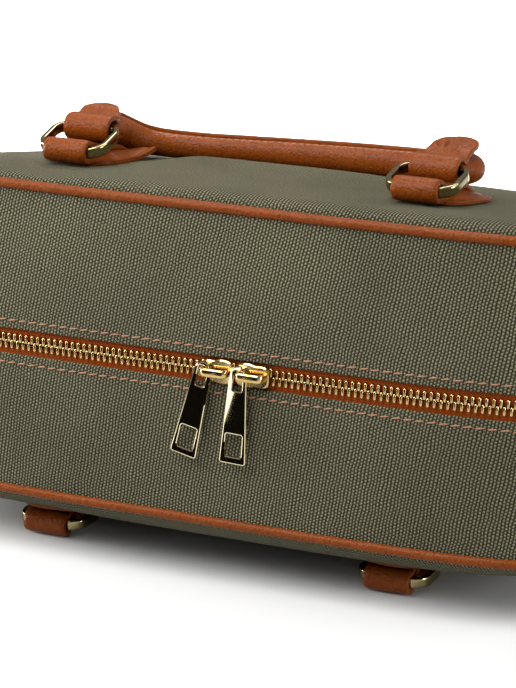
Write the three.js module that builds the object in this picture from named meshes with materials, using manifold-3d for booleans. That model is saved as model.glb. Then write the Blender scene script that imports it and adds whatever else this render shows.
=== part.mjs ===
// A soft canvas holdall lying on its back: two domed panels joined by a zipped gusset, with leather
// piping, ring tabs and rolled handles. Millimetres, +Z up, +X along the bag, -Y towards the zip.
// The origin is on the floor, at the middle of the flat that the belly rests on.
import * as THREE from "three";
import { mergeVertices } from "three/addons/utils/BufferGeometryUtils.js";
import Module from "manifold-3d";

const wasm = await Module();
wasm.setup();

// Cloth and seams
const GAP = 0.35; // between neighbouring pieces
const CANVAS = 1.6; // cloth wall
const PIPING_RADIUS = 2.15;
const PIPING_SIDES = 6;
const SEAM = PIPING_RADIUS + GAP; // from a piping's centre line to the cloth on either side

// Outline of both panels, a rounded rectangle, and the stations round it
const HALF_LENGTH = 180;
const HALF_HEIGHT = 110;
const SQUARENESS = 5;
const STATIONS = 56;
const TURN_WEIGHT = 60; // mm of rim that one radian of turn counts for

// The two panels: centre of the seam's plane, its fall towards the base in degrees, and the stuffing's dome
const FRONT = { y: -46.3, z: 140.3, fall: 11.2, dome: 11.5 };
const BACK = { y: -56.3, z: 20.8, fall: 3.9, dome: 30 };
const DOME_POWER = 0.8;
const FRONT_RINGS = 5;
const BACK_RINGS = 7;
const RING_POWER = 1.4; // draws the rings of facets towards the seam

// How high the floor and the folded-under handle hold the back panel, from the zip to the base
const LIFT_ON_TABS = 14.3;
const LIFT_ON_GRIP = 12.2;
const TABS_END = -84;
const GRIP_START = -66;
const GRIP_END = -58;
const FLOOR_START = -22;

// Gusset: how far it bows out at the zip and at the base
const BOW_ZIP = 4.8;
const BOW_BASE = 14;
const ZIP_STATIONS = 12; // either side of the middle of the zip

// Zip
const ZIP_OPENING = 11; // between the folded canvas edges
const TAPE_WIDTH = 8.6;
const TAPE_THICK = 1;
const TAPE_DEPTH = 2.3; // below the canvas face
const TEETH_WIDTH = 3.1;
const TEETH_GAP = 0.4; // between the two rows
const TEETH_THICK = 1.5;
const SLIDER = { long: 15.2, wide: 9.2, plate: 1.5, post: 2.6, crown: 2, leg: 5.3, clear: 2.7 };
const ZIP_PARTING = { aside: 2, near: 5.5, far: 10 }; // how far each row moves aside for a slider's post
const PULL = { thick: 1.8, above: 3.3, below: 37.8, top: 8, bottom: 12.2 };
const PULL_SLOT = { wide: 3.7, high: 5 };
const PULL_WINDOW = { wide: 7.4, high: 9.6, rim: 3.1 };
const SIDES = [
  { side: "left", sign: -1, slider: 14, lean: 12.2 },
  { side: "right", sign: 1, slider: 30.2, lean: 2 },
];

// Tabs, rings and handles
const TAB_SPACING = 81.5; // from the middle of a handle to a tab
const TAB_SHIFT = 1.3; // of both handles, from the middle of the bag
const LOOP_RADIUS = 5.35;
const LOOP_BORE = 2.4;
const TAB = { wide: 20.5, neck: 13, patchWide: 36, patchStart: 5, patchEnd: 46, thick: 2.6, corner: 6 };
const RING = { halfWide: 15, halfLong: 11, corner: 4.2, wireIn: 1.7, wireOut: 1.8, sides: 6 };
const HANDLE_LOOP_WIDE = 21.6;
const TONGUE = { wide: 21, thick: 2.5, reach: 25 };
const GRIP_SIDES = 8;
const GRIP_STEPS = 28;

// The two handles: hinge axis, distance to the panel, tilts, and sections from the right end to the left.
// out is measured away from the panel, from the hinge axis. The front handle lies askew, the back one even.
const FRONT_SIDE = {
  name: "front",
  y: -117.8,
  z: 168.9,
  up: 1,
  seat: 5.4,
  patchTilt: -8.8,
  ringTilt: 15,
  sections: [
    { x: 81.5, y: 22.5, out: 3.2, wide: 11.4, thick: 4 },
    { x: 81.5, y: 34, out: 1.8, wide: 12, thick: 6.4 },
    { x: 82, y: 46, out: -1.2, wide: 11, thick: 7.4 },
    { x: 69, y: 59, out: -5.2, wide: 7.2, thick: 6.6 },
    { x: 48, y: 65.5, out: -7.1, wide: 5.9, thick: 6.4 },
    { x: 22, y: 67, out: -7.9, wide: 5.8, thick: 6.2 },
    { x: -22, y: 67, out: -9, wide: 5.6, thick: 5.6 },
    { x: -48, y: 65, out: -9.5, wide: 5.7, thick: 5.6 },
    { x: -69, y: 57.5, out: -7.4, wide: 7.2, thick: 6 },
    { x: -80, y: 45, out: -0.6, wide: 10.2, thick: 7 },
    { x: -81.5, y: 34, out: 2, wide: 11.5, thick: 6.2 },
    { x: -81.5, y: 22.5, out: 3.4, wide: 11, thick: 3.6 },
  ],
};
const BACK_SIDE = {
  name: "back",
  y: -142.5,
  z: 5.7,
  up: -1,
  seat: 8.6,
  patchTilt: 0,
  ringTilt: 0,
  sections: mirrored([
    { x: 81.5, y: 22.5, out: -1.2, wide: 11, thick: 3.4 },
    { x: 81.5, y: 34, out: -1.2, wide: 11, thick: 3.9 },
    { x: 79, y: 46, out: -0.9, wide: 9.4, thick: 4.3 },
    { x: 68, y: 58, out: -0.3, wide: 7, thick: 4.9 },
    { x: 48, y: 65, out: 0.1, wide: 5.7, thick: 5.4 },
    { x: 22, y: 67, out: 0.1, wide: 5.5, thick: 5.4 },
  ]),
};

const FINISHES = {
  canvas: { color: 0x66675a, roughness: 0.95, metalness: 0 },
  leather: { color: 0xa3501c, roughness: 0.5, metalness: 0 },
  twill: { color: 0x8f3f16, roughness: 0.9, metalness: 0 },
  gold: { color: 0xd9b36a, roughness: 0.2, metalness: 1 },
  antique: { color: 0xb39a62, roughness: 0.35, metalness: 1 },
};

const { degToRad, lerp, smoothstep } = THREE.MathUtils;

// The outline of a panel: 0 is the middle of the base and 0.5 the middle of the zip.
class Rim extends THREE.Curve {
  constructor(inset = 0) {
    super();
    this.long = HALF_LENGTH - inset;
    this.high = HALF_HEIGHT - inset;
  }

  getPoint(t, target = new THREE.Vector2()) {
    const along = Math.sin(2 * Math.PI * t);
    const across = Math.cos(2 * Math.PI * t);
    return target.set(along, across).divideScalar(this.reach(along, across));
  }

  // 0 at the panel's middle and 1 on the outline.
  reach(u, w) {
    const ends = Math.abs(u / this.long) ** SQUARENESS;
    const edges = Math.abs(w / this.high) ** SQUARENESS;
    return (ends + edges) ** (1 / SQUARENESS);
  }

  // Square to the outline, pointing out.
  normal(u, w) {
    const ends = (Math.sign(u) * Math.abs(u / this.long) ** (SQUARENESS - 1)) / this.long;
    const edges = (Math.sign(w) * Math.abs(w / this.high) ** (SQUARENESS - 1)) / this.high;
    return new THREE.Vector3(ends, edges, 0).normalize();
  }
}

const SEAM_RIM = new Rim();
const PANEL_RIM = new Rim(SEAM);

// Stations round the rim, closer where it turns, so that all pieces that follow it share their facets.
function spreadStations(count) {
  const fine = 24 * count;
  const points = Array.from({ length: fine + 2 }, (_, i) => SEAM_RIM.getPoint(i / fine));
  const travelled = [0];
  for (let i = 0; i < fine; i++) {
    const here = points[i + 1].clone().sub(points[i]);
    const next = points[i + 2].clone().sub(points[i + 1]);
    const turn = Math.abs(Math.atan2(here.cross(next), here.dot(next)));
    travelled.push(travelled[i] + here.length() + TURN_WEIGHT * turn);
  }
  return Array.from({ length: count + 1 }, (_, k) => {
    const wanted = (travelled[fine] * k) / count;
    const after = Math.max(1, travelled.findIndex((value) => value >= wanted - 1e-9));
    const part = (wanted - travelled[after - 1]) / (travelled[after] - travelled[after - 1]);
    return (after - 1 + part) / fine;
  });
}

const STATION_TURNS = spreadStations(STATIONS);

// The rim parameter at a station, whole or not.
function turnAt(station) {
  const wrapped = ((station % STATIONS) + STATIONS) % STATIONS;
  const below = Math.floor(wrapped);
  return lerp(STATION_TURNS[below], STATION_TURNS[below + 1], wrapped - below);
}

// A point of a panel's seam plane, u along the bag and w from the zip to the base.
function onPlane(panel, u, w) {
  const fall = degToRad(panel.fall);
  return new THREE.Vector3(u, panel.y + w * Math.cos(fall), panel.z - w * Math.sin(fall));
}

function domeAt(panel, reach) {
  return panel.dome * Math.max(0, 1 - reach ** 2) ** DOME_POWER;
}

// What the back panel lies on: the handle near the zip, then the floor.
function restHeight(y) {
  const onGrip = lerp(LIFT_ON_TABS, LIFT_ON_GRIP, smoothstep(y, TABS_END, GRIP_START));
  return onGrip * (1 - smoothstep(y, GRIP_END, FLOOR_START));
}

function frontSkin(point, reach, outside) {
  point.z += domeAt(FRONT, reach) + (outside ? CANVAS / 2 : -CANVAS / 2);
}

function backSkin(point, reach, outside) {
  const belly = point.z - domeAt(BACK, reach) - CANVAS / 2;
  point.z = Math.max(belly, restHeight(point.y)) + (outside ? 0 : CANVAS);
}

// Moves every vertex of a geometry with place(vertex).
function remap(geometry, place) {
  const positions = geometry.getAttribute("position");
  const vertex = new THREE.Vector3();
  for (let i = 0; i < positions.count; i++) {
    place(vertex.fromBufferAttribute(positions, i));
    positions.setXYZ(i, vertex.x, vertex.y, vertex.z);
  }
  return geometry;
}

// A geometry as one closed solid, with its equal vertices joined and its faces turned out.
function solid(geometry) {
  const bare = new THREE.BufferGeometry();
  bare.setAttribute("position", geometry.getAttribute("position"));
  if (geometry.index) bare.setIndex(geometry.index);
  const joined = mergeVertices(bare, 1e-3);
  const corners = joined.index.array;
  const kept = [];
  for (let i = 0; i < corners.length; i += 3) {
    const [a, b, c] = corners.slice(i, i + 3);
    if (a !== b && b !== c && c !== a) kept.push(a, b, c);
  }
  const vertProperties = joined.getAttribute("position").array;
  const build = (triVerts) => new wasm.Manifold(new wasm.Mesh({ numProp: 3, vertProperties, triVerts }));
  const made = build(new Uint32Array(kept));
  return made.volume() > 0 ? made : build(new Uint32Array(kept.reverse()));
}

function geometryOf(manifold) {
  const { vertProperties, triVerts } = manifold.getMesh();
  const geometry = new THREE.BufferGeometry();
  geometry.setAttribute("position", new THREE.BufferAttribute(vertProperties, 3));
  geometry.setIndex(new THREE.BufferAttribute(triVerts, 1));
  geometry.computeVertexNormals();
  return geometry;
}

function piece(name, manifold, finish) {
  const mesh = new THREE.Mesh(geometryOf(manifold), new THREE.MeshStandardMaterial(FINISHES[finish]));
  mesh.name = name;
  return mesh;
}

// A shape drawn in the y-z plane, extruded along x about the middle.
function extrudeAlongX(shape, wide, curveSegments) {
  const geometry = new THREE.ExtrudeGeometry(shape, { depth: wide, bevelEnabled: false, curveSegments });
  return remap(geometry, (v) => v.set(v.z - wide / 2, v.x, v.y));
}

// A flat plate drawn in the x-y plane, from z to z + thick.
function plate(shape, z, thick, curveSegments) {
  const geometry = new THREE.ExtrudeGeometry(shape, { depth: thick, bevelEnabled: false, curveSegments });
  return geometry.translate(0, 0, z);
}

// Panels
function panelShell(panel, rings, skin) {
  const steps = Array.from({ length: rings + 1 }, (_, i) => 1 - (1 - i / rings) ** RING_POWER);
  const profile = [
    ...steps.map((step) => new THREE.Vector2(step, 1)),
    ...steps.toReversed().map((step) => new THREE.Vector2(step, 0)),
  ];
  const disc = new THREE.LatheGeometry(profile, STATIONS);
  return solid(
    remap(disc, (v) => {
      const reach = Math.hypot(v.x, v.z);
      const station = Math.round((Math.atan2(v.x, v.z) / (2 * Math.PI)) * STATIONS);
      const edge = PANEL_RIM.getPoint(turnAt(station)).multiplyScalar(reach);
      const outside = v.y > 0.5;
      v.copy(onPlane(panel, edge.x, edge.y));
      skin(v, reach, outside);
    }),
  );
}

function piping(panel) {
  const middle = 10;
  const torus = new THREE.TorusGeometry(middle, PIPING_RADIUS, PIPING_SIDES, STATIONS);
  return solid(
    remap(torus, (v) => {
      const station = Math.round((Math.atan2(v.y, v.x) / (2 * Math.PI)) * STATIONS);
      const edge = SEAM_RIM.getPoint(turnAt(station));
      const outward = SEAM_RIM.normal(edge.x, edge.y).multiplyScalar(Math.hypot(v.x, v.y) - middle);
      const rise = v.z;
      v.copy(onPlane(panel, edge.x, edge.y)).add(outward);
      v.z += rise;
    }),
  );
}

// Gusset. A point of it at a station, by its distance from the zip line and its depth below the cloth's face.
function onGusset(station, fromZip, depth) {
  const edge = SEAM_RIM.getPoint(turnAt(station));
  const back = onPlane(BACK, edge.x, edge.y);
  const front = onPlane(FRONT, edge.x, edge.y);
  const span = back.distanceTo(front);
  const part = 0.5 + fromZip / span;
  const bow = lerp(BOW_ZIP, BOW_BASE, 0.5 + edge.y / (2 * HALF_HEIGHT)) * 4 * part * (1 - part);
  return back.lerp(front, part).addScaledVector(SEAM_RIM.normal(edge.x, edge.y), bow - depth);
}

function halfSpan(station) {
  const edge = SEAM_RIM.getPoint(turnAt(station));
  return onPlane(BACK, edge.x, edge.y).distanceTo(onPlane(FRONT, edge.x, edge.y)) / 2;
}

// A strip of the gusset between two stations, with its edges given by functions of the station.
// A crowd over 1 draws its facets towards its middle.
function gussetStrip({ from, to, lengths, widths, low, high, depth, thick, crowd = 1 }) {
  const box = new THREE.BoxGeometry(1, 1, 1, lengths, widths, 1);
  return solid(
    remap(box, (v) => {
      const fromMiddle = Math.sign(v.x) * Math.abs(2 * v.x) ** crowd;
      const station = lerp(from, to, (fromMiddle + 1) / 2);
      const fromZip = lerp(low(station), high(station), v.y + 0.5);
      v.copy(onGusset(station, fromZip, depth + (v.z + 0.5) * thick));
    }),
  );
}

const ZIP_MIDDLE = STATIONS / 2;
const ZIP_FROM = ZIP_MIDDLE - ZIP_STATIONS;
const ZIP_TO = ZIP_MIDDLE + ZIP_STATIONS;
const SEAM_STATIONS = 0.02; // the gap at the ends of the zip strips, in stations
const TEETH_LENGTHS = 40;
const TEETH_CROWD = 1.8;

// One of the two canvas strips beside the zip: sign 1 is on the front panel's side.
function zipStrip(sign) {
  return gussetStrip({
    from: ZIP_FROM,
    to: ZIP_TO,
    lengths: 2 * ZIP_STATIONS,
    widths: 3,
    low: () => (sign * ZIP_OPENING) / 2,
    high: (station) => sign * (halfSpan(station) - SEAM),
    depth: 0,
    thick: CANVAS,
  });
}

function baseGusset() {
  return gussetStrip({
    from: ZIP_TO + SEAM_STATIONS,
    to: ZIP_FROM + STATIONS - SEAM_STATIONS,
    lengths: STATIONS - 2 * ZIP_STATIONS,
    widths: 5,
    low: (station) => SEAM - halfSpan(station),
    high: (station) => halfSpan(station) - SEAM,
    depth: 0,
    thick: CANVAS,
  });
}

// How far a row of teeth moves aside at a station, where a slider's post stands between the rows.
function parting(station) {
  const { x } = SEAM_RIM.getPoint(turnAt(station));
  const onZipSide = Math.abs(station - ZIP_MIDDLE) < ZIP_STATIONS / 2;
  const nearest = Math.min(...SIDES.map(({ slider }) => Math.abs(x - slider)));
  const { aside, near, far } = ZIP_PARTING;
  return onZipSide ? aside * (1 - smoothstep(nearest, near, far)) : 0;
}

function zipTape(sign) {
  return gussetStrip({
    from: ZIP_FROM,
    to: ZIP_TO,
    lengths: TEETH_LENGTHS,
    crowd: TEETH_CROWD,
    widths: 1,
    low: (station) => sign * (TEETH_GAP / 2 + parting(station)),
    high: () => sign * TAPE_WIDTH,
    depth: TAPE_DEPTH,
    thick: TAPE_THICK,
  });
}

function zipTeeth(sign) {
  return gussetStrip({
    from: ZIP_FROM + SEAM_STATIONS,
    to: ZIP_TO - SEAM_STATIONS,
    lengths: TEETH_LENGTHS,
    crowd: TEETH_CROWD,
    widths: 1,
    low: (station) => sign * (TEETH_GAP / 2 + parting(station)),
    high: (station) => sign * (TEETH_GAP / 2 + TEETH_WIDTH + parting(station)),
    depth: CANVAS - TEETH_THICK,
    thick: TEETH_THICK,
  });
}

// The frame of the zip line at x: x along it, y up the gusset and z out of it.
const STATION_STEP = 30; // mm, a little over the stations' distance there
function zipFrame(x) {
  let station = ZIP_MIDDLE;
  for (let i = 0; i < 8; i++) {
    station += (onGusset(station, 0, 0).x - x) / STATION_STEP;
  }
  const along = onGusset(station - 0.2, 0, 0).sub(onGusset(station + 0.2, 0, 0)).normalize();
  const across = onGusset(station, 1, 0).sub(onGusset(station, -1, 0)).normalize();
  const out = along.clone().cross(across).normalize();
  const upward = out.clone().cross(along);
  return new THREE.Matrix4().makeBasis(along, upward, out).setPosition(onGusset(station, 0, 0));
}

function rectangle(wide, high, x = 0, y = 0) {
  const shape = new THREE.Shape();
  shape.moveTo(x - wide / 2, y - high / 2);
  shape.lineTo(x + wide / 2, y - high / 2);
  shape.lineTo(x + wide / 2, y + high / 2);
  shape.lineTo(x - wide / 2, y + high / 2);
  shape.closePath();
  return shape;
}

// A slider: two plates on a post between the rows of teeth, and an arched crown that holds the pull.
function slider() {
  const { long, wide, plate: thick, post, crown, leg, clear } = SLIDER;
  const face = GAP;
  const back = -(TAPE_DEPTH + TAPE_THICK + GAP);
  const outline = new THREE.Shape();
  outline.absellipse(0, 0, long / 2, wide / 2, 0, 2 * Math.PI);
  const body = solid(plate(outline, face, thick, 5))
    .add(solid(plate(outline, back - thick, thick, 5)))
    .add(solid(plate(rectangle(post, post), back - thick, face - back + 1.5 * thick)));
  const foot = face + thick / 2;
  const top = face + thick + clear;
  const arch = rectangle(2 * leg + crown, top + crown - foot, 0, (top + crown + foot) / 2);
  arch.holes.push(rectangle(2 * leg - crown, top - foot, 0, (top + foot) / 2));
  const bridge = new THREE.ExtrudeGeometry(arch, { depth: crown, bevelEnabled: false });
  remap(bridge, (v) => v.set(v.x, v.z - crown / 2, v.y));
  return body.add(solid(bridge));
}

// A pull, hung from its slot round the origin, with its plate under the slider's crown.
function pull() {
  const outline = new THREE.Shape();
  outline.moveTo(-PULL.top / 2, 0);
  outline.lineTo(-PULL.bottom / 2, -PULL.below);
  outline.lineTo(PULL.bottom / 2, -PULL.below);
  outline.lineTo(PULL.top / 2, 0);
  outline.absarc(0, 0, PULL.top / 2, 0, Math.PI);
  const slotMiddle = PULL.above - PULL_SLOT.high / 2 - 1;
  const windowMiddle = PULL_WINDOW.rim + PULL_WINDOW.high / 2 - PULL.below;
  outline.holes.push(rectangle(PULL_SLOT.wide, PULL_SLOT.high, 0, slotMiddle));
  outline.holes.push(rectangle(PULL_WINDOW.wide, PULL_WINDOW.high, 0, windowMiddle));
  return solid(plate(outline, GAP + SLIDER.plate + GAP, PULL.thick, 5));
}

// Tabs, in the frame of their hinge axis: x along it, y towards the base, z away from the panel.
function tab({ seat }) {
  const low = GAP - seat;
  const high = low + TAB.thick;
  const tangent = (y, z, sign) => Math.atan2(z, y) + sign * Math.acos(LOOP_RADIUS / Math.hypot(y, z));
  const profile = new THREE.Shape();
  profile.moveTo(TAB.neck, high);
  profile.absarc(0, 0, LOOP_RADIUS, tangent(TAB.neck, high, 1), tangent(TAB.neck, low, -1) + 2 * Math.PI);
  profile.lineTo(TAB.neck, low);
  profile.closePath();
  const bore = new THREE.Path();
  bore.absarc(0, 0, LOOP_BORE, 0, 2 * Math.PI);
  profile.holes.push(bore);
  const { patchWide, patchStart, patchEnd, corner, thick } = TAB;
  const half = patchWide / 2;
  const patch = new THREE.Shape();
  patch.moveTo(corner - half, patchStart);
  patch.lineTo(half - corner, patchStart);
  patch.quadraticCurveTo(half, patchStart, half, patchStart + corner);
  patch.lineTo(half, patchEnd - corner);
  patch.quadraticCurveTo(half, patchEnd, half - corner, patchEnd);
  patch.lineTo(corner - half, patchEnd);
  patch.quadraticCurveTo(-half, patchEnd, -half, patchEnd - corner);
  patch.lineTo(-half, patchStart + corner);
  patch.quadraticCurveTo(-half, patchStart, corner - half, patchStart);
  return solid(extrudeAlongX(profile, TAB.wide, 12)).add(solid(plate(patch, low, thick, 2)));
}

// A ring in the same frame: a rounded rectangle of wire whose near bar lies on the hinge axis.
function ring() {
  const { halfWide, halfLong, corner, wireIn, wireOut, sides } = RING;
  const route = new THREE.Path();
  route.moveTo(halfWide, 0);
  route.absarc(halfWide - corner, halfLong - corner, corner, 0, Math.PI / 2);
  route.absarc(corner - halfWide, halfLong - corner, corner, Math.PI / 2, Math.PI);
  route.absarc(corner - halfWide, corner - halfLong, corner, Math.PI, 1.5 * Math.PI);
  route.absarc(halfWide - corner, corner - halfLong, corner, 1.5 * Math.PI, 2 * Math.PI);
  const points = route.getPoints(2).slice(1);
  const count = points.length;
  const middle = 10;
  const torus = new THREE.TorusGeometry(middle, 1, sides, count);
  return solid(
    remap(torus, (v) => {
      const index = Math.round((Math.atan2(v.y, v.x) / (2 * Math.PI)) * count) + count;
      const at = points[index % count];
      const ahead = points[(index + 1) % count].clone().sub(points[(index - 1) % count]).normalize();
      const outward = (Math.hypot(v.x, v.y) - middle) * wireIn;
      v.set(at.x + ahead.y * outward, at.y - ahead.x * outward + halfLong, v.z * wireOut);
    }),
  );
}

// The sections of a whole handle from those of one half.
function mirrored(half) {
  return [...half, ...half.toReversed().map((section) => ({ ...section, x: -section.x }))];
}

// A handle in the frame of its hinge axis, swept through its sections from end to end.
function handle({ sections, ringTilt }) {
  const route = new THREE.CatmullRomCurve3(sections.map(({ x, y, out }) => new THREE.Vector3(x, y, out)));
  const spans = sections.map(({ wide, thick }) => new THREE.Vector3(wide, thick, 0));
  const sizes = new THREE.CatmullRomCurve3(spans);
  const grip = new THREE.CylinderGeometry(1, 1, 1, GRIP_SIDES, GRIP_STEPS);
  remap(grip, (v) => {
    const t = v.y + 0.5;
    const ahead = route.getTangent(t);
    const aside = new THREE.Vector3(ahead.y, -ahead.x, 0).normalize();
    const size = sizes.getPoint(t);
    const { x, z } = v;
    v.copy(route.getPoint(t)).addScaledVector(aside, x * size.x);
    v.z += z * size.y;
  });
  const tilt = degToRad(ringTilt);
  const bar = { y: 2 * RING.halfLong * Math.cos(tilt), out: 2 * RING.halfLong * Math.sin(tilt) };
  const loop = new THREE.Shape();
  loop.absarc(bar.y, bar.out, LOOP_RADIUS, 0, 2 * Math.PI);
  const bore = new THREE.Shape();
  bore.absarc(bar.y, bar.out, LOOP_BORE, 0, 2 * Math.PI);
  const half = TONGUE.wide / 2;
  const tongue = new THREE.Shape();
  tongue.moveTo(-half, bar.y);
  tongue.lineTo(half, bar.y);
  tongue.lineTo(half, bar.y + TONGUE.reach - half);
  tongue.absarc(0, bar.y + TONGUE.reach - half, half, 0, Math.PI);
  tongue.closePath();
  const tongueLow = bar.out + LOOP_RADIUS - TONGUE.thick;
  let whole = solid(grip);
  for (const { sign } of SIDES) {
    const x = sign * TAB_SPACING;
    whole = whole
      .add(solid(extrudeAlongX(loop, HANDLE_LOOP_WIDE, 14).translate(x, 0, 0)))
      .add(solid(plate(tongue, tongueLow, TONGUE.thick, 6).translate(x, 0, 0)))
      .subtract(solid(extrudeAlongX(bore, HANDLE_LOOP_WIDE + 1, 14).translate(x, 0, 0)));
  }
  return whole;
}

// The group that holds what hangs on one hinge axis, turned so that its z points away from the panel.
function hingeGroup({ y, z, up }) {
  const group = new THREE.Group();
  group.position.set(TAB_SHIFT, y, z);
  group.rotation.y = up > 0 ? 0 : Math.PI;
  return group;
}

const bag = new THREE.Group();
bag.add(
  piece("front_panel", panelShell(FRONT, FRONT_RINGS, frontSkin), "canvas"),
  piece("back_panel", panelShell(BACK, BACK_RINGS, backSkin), "canvas"),
  piece("top_gusset_front", zipStrip(1), "canvas"),
  piece("top_gusset_back", zipStrip(-1), "canvas"),
  piece("base_gusset", baseGusset(), "canvas"),
  piece("front_piping", piping(FRONT), "leather"),
  piece("back_piping", piping(BACK), "leather"),
  piece("zip_tape_front", zipTape(1), "twill"),
  piece("zip_tape_back", zipTape(-1), "twill"),
  piece("zip_teeth_front", zipTeeth(1), "gold"),
  piece("zip_teeth_back", zipTeeth(-1), "gold"),
);

for (const { side, slider: x, lean } of SIDES) {
  const seat = new THREE.Group();
  seat.applyMatrix4(zipFrame(x));
  const pullMesh = piece(`zip_pull_${side}`, pull(), "gold");
  pullMesh.position.x = -SLIDER.leg;
  pullMesh.rotation.z = -degToRad(lean);
  seat.add(piece(`zip_slider_${side}`, slider(), "gold"), pullMesh);
  bag.add(seat);
}

for (const end of [FRONT_SIDE, BACK_SIDE]) {
  const hinge = hingeGroup(end);
  hinge.add(piece(`${end.name}_handle`, handle(end), "leather"));
  for (const { side, sign } of SIDES) {
    const tabMesh = piece(`${end.name}_tab_${side}`, tab(end), "leather");
    tabMesh.position.x = sign * end.up * TAB_SPACING;
    tabMesh.rotation.x = degToRad(end.patchTilt);
    const ringMesh = piece(`${end.name}_ring_${side}`, ring(), "antique");
    ringMesh.position.x = sign * end.up * TAB_SPACING;
    ringMesh.rotation.x = degToRad(end.ringTilt);
    hinge.add(tabMesh, ringMesh);
  }
  bag.add(hinge);
}

export default bag;
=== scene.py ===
"""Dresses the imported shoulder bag: canvas, leather, zip, stitching, studio and camera.

Sizes are in millimetres until a mesh is finished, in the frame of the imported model: +X along the bag,
+Y from the zip towards the base, +Z up from the floor.
"""

from __future__ import annotations

import logging
import math
from collections.abc import Callable, Iterable, Sequence
from dataclasses import dataclass, field, replace
from enum import Enum
from functools import cached_property
from typing import Any

import bmesh
import bpy
from bmesh.types import BMesh
from bpy.types import Material, Node, NodeSocket, NodeTree, Object
from mathutils import Matrix, Vector, noise


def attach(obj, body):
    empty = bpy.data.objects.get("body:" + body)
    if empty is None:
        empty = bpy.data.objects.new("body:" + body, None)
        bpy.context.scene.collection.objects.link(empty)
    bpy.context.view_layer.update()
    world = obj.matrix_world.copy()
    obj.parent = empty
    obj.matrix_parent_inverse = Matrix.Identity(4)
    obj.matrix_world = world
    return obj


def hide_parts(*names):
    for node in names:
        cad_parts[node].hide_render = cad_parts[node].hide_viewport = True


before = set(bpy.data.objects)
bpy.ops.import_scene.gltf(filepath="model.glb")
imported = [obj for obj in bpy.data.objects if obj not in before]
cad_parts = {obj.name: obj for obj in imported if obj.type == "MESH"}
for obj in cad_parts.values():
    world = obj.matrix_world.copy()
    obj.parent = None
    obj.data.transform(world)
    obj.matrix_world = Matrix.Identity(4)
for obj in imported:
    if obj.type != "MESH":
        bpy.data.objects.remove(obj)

LOG = logging.getLogger("shoulder_bag")
MM = 0.001
IMAGE_SIZE = (516, 688)
MERGE = 1e-3  # points nearer to each other than this, in millimetres, are one
NOISE_LOW, NOISE_HIGH = 0.3, 0.7  # nearly all values of a noise texture lie between these
X_AXIS, Y_AXIS, Z_AXIS = Vector((1, 0, 0)), Vector((0, 1, 0)), Vector((0, 0, 1))

Place = Callable[[float, float], Vector]
Colour = tuple[float, float, float, float]


class Body(Enum):
    """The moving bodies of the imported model."""

    BAG = "bag"
    FRONT_HANDLE = "front_handle"
    BACK_HANDLE = "back_handle"
    LEFT_PULL = "left_pull"
    RIGHT_PULL = "right_pull"


class Slot(Enum):
    """The material slots of the record."""

    CANVAS = "canvas"
    LEATHER = "leather"
    ZIP_TAPE = "zip_tape"
    GOLD = "gold_metal"
    BRASS = "antique_brass"


class Half(Enum):
    """The bag's halves either side of the zip, by the sign of their way out: the front one lies uppermost."""

    FRONT = 1
    BACK = -1

    @property
    def label(self) -> str:
        """The half's name in the node names."""
        return self.name.lower()


class Side(Enum):
    """Left and right, by the sign of x."""

    LEFT = -1
    RIGHT = 1

    @property
    def label(self) -> str:
        """The side's name in the node names."""
        return self.name.lower()


# Materials


def linear(code: str) -> Colour:
    """Turns an sRGB hex value into a linear colour.

    Args:
        code: Six hex digits, with or without a leading hash.

    Returns:
        Red, green, blue and an alpha of 1.
    """
    digits = code.lstrip("#")
    values = [int(digits[i : i + 2], 16) / 255 for i in (0, 2, 4)]
    red, green, blue = (v / 12.92 if v <= 0.04045 else ((v + 0.055) / 1.055) ** 2.4 for v in values)
    return red, green, blue, 1.0


def add_node(
    tree: NodeTree, kind: str, inputs: dict[str | int, Any] | None = None, **settings: Any
) -> Node:
    """Adds a node with its settings, values and links.

    Args:
        tree: The node tree that takes the node.
        kind: The node's type, such as ShaderNodeMath.
        inputs: Socket name or number to a value, or to the output socket that feeds it.
        settings: Properties of the node.

    Returns:
        The new node.
    """
    node = tree.nodes.new(kind)
    for key, value in settings.items():
        setattr(node, key, value)
    for key, value in (inputs or {}).items():
        if isinstance(value, NodeSocket):
            tree.links.new(value, node.inputs[key])
        else:
            node.inputs[key].default_value = value
    return node


@dataclass(frozen=True)
class Finish:
    """A surface: its name, its slot and the constants of its shader."""

    name: str
    slot: Slot
    roughness: float
    metallic: float = 0.0
    specular: float = 0.5

    @cached_property
    def material(self) -> Material:
        """The finished material, made once."""
        material = bpy.data.materials.new(self.name)
        material.use_nodes = True
        tree = material.node_tree
        tree.nodes.clear()
        constants = {
            "Roughness": self.roughness,
            "Metallic": self.metallic,
            "Specular IOR Level": self.specular,
        }
        shader = add_node(tree, "ShaderNodeBsdfPrincipled", constants)
        add_node(tree, "ShaderNodeOutputMaterial", {"Surface": shader.outputs[0]})
        self.dress(tree, shader)
        return material

    def dress(self, tree: NodeTree, shader: Node) -> None:
        """Adds the surface's own pattern to the shader.

        Args:
            tree: The material's node tree.
            shader: Its shader node.
        """
        raise NotImplementedError


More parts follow.
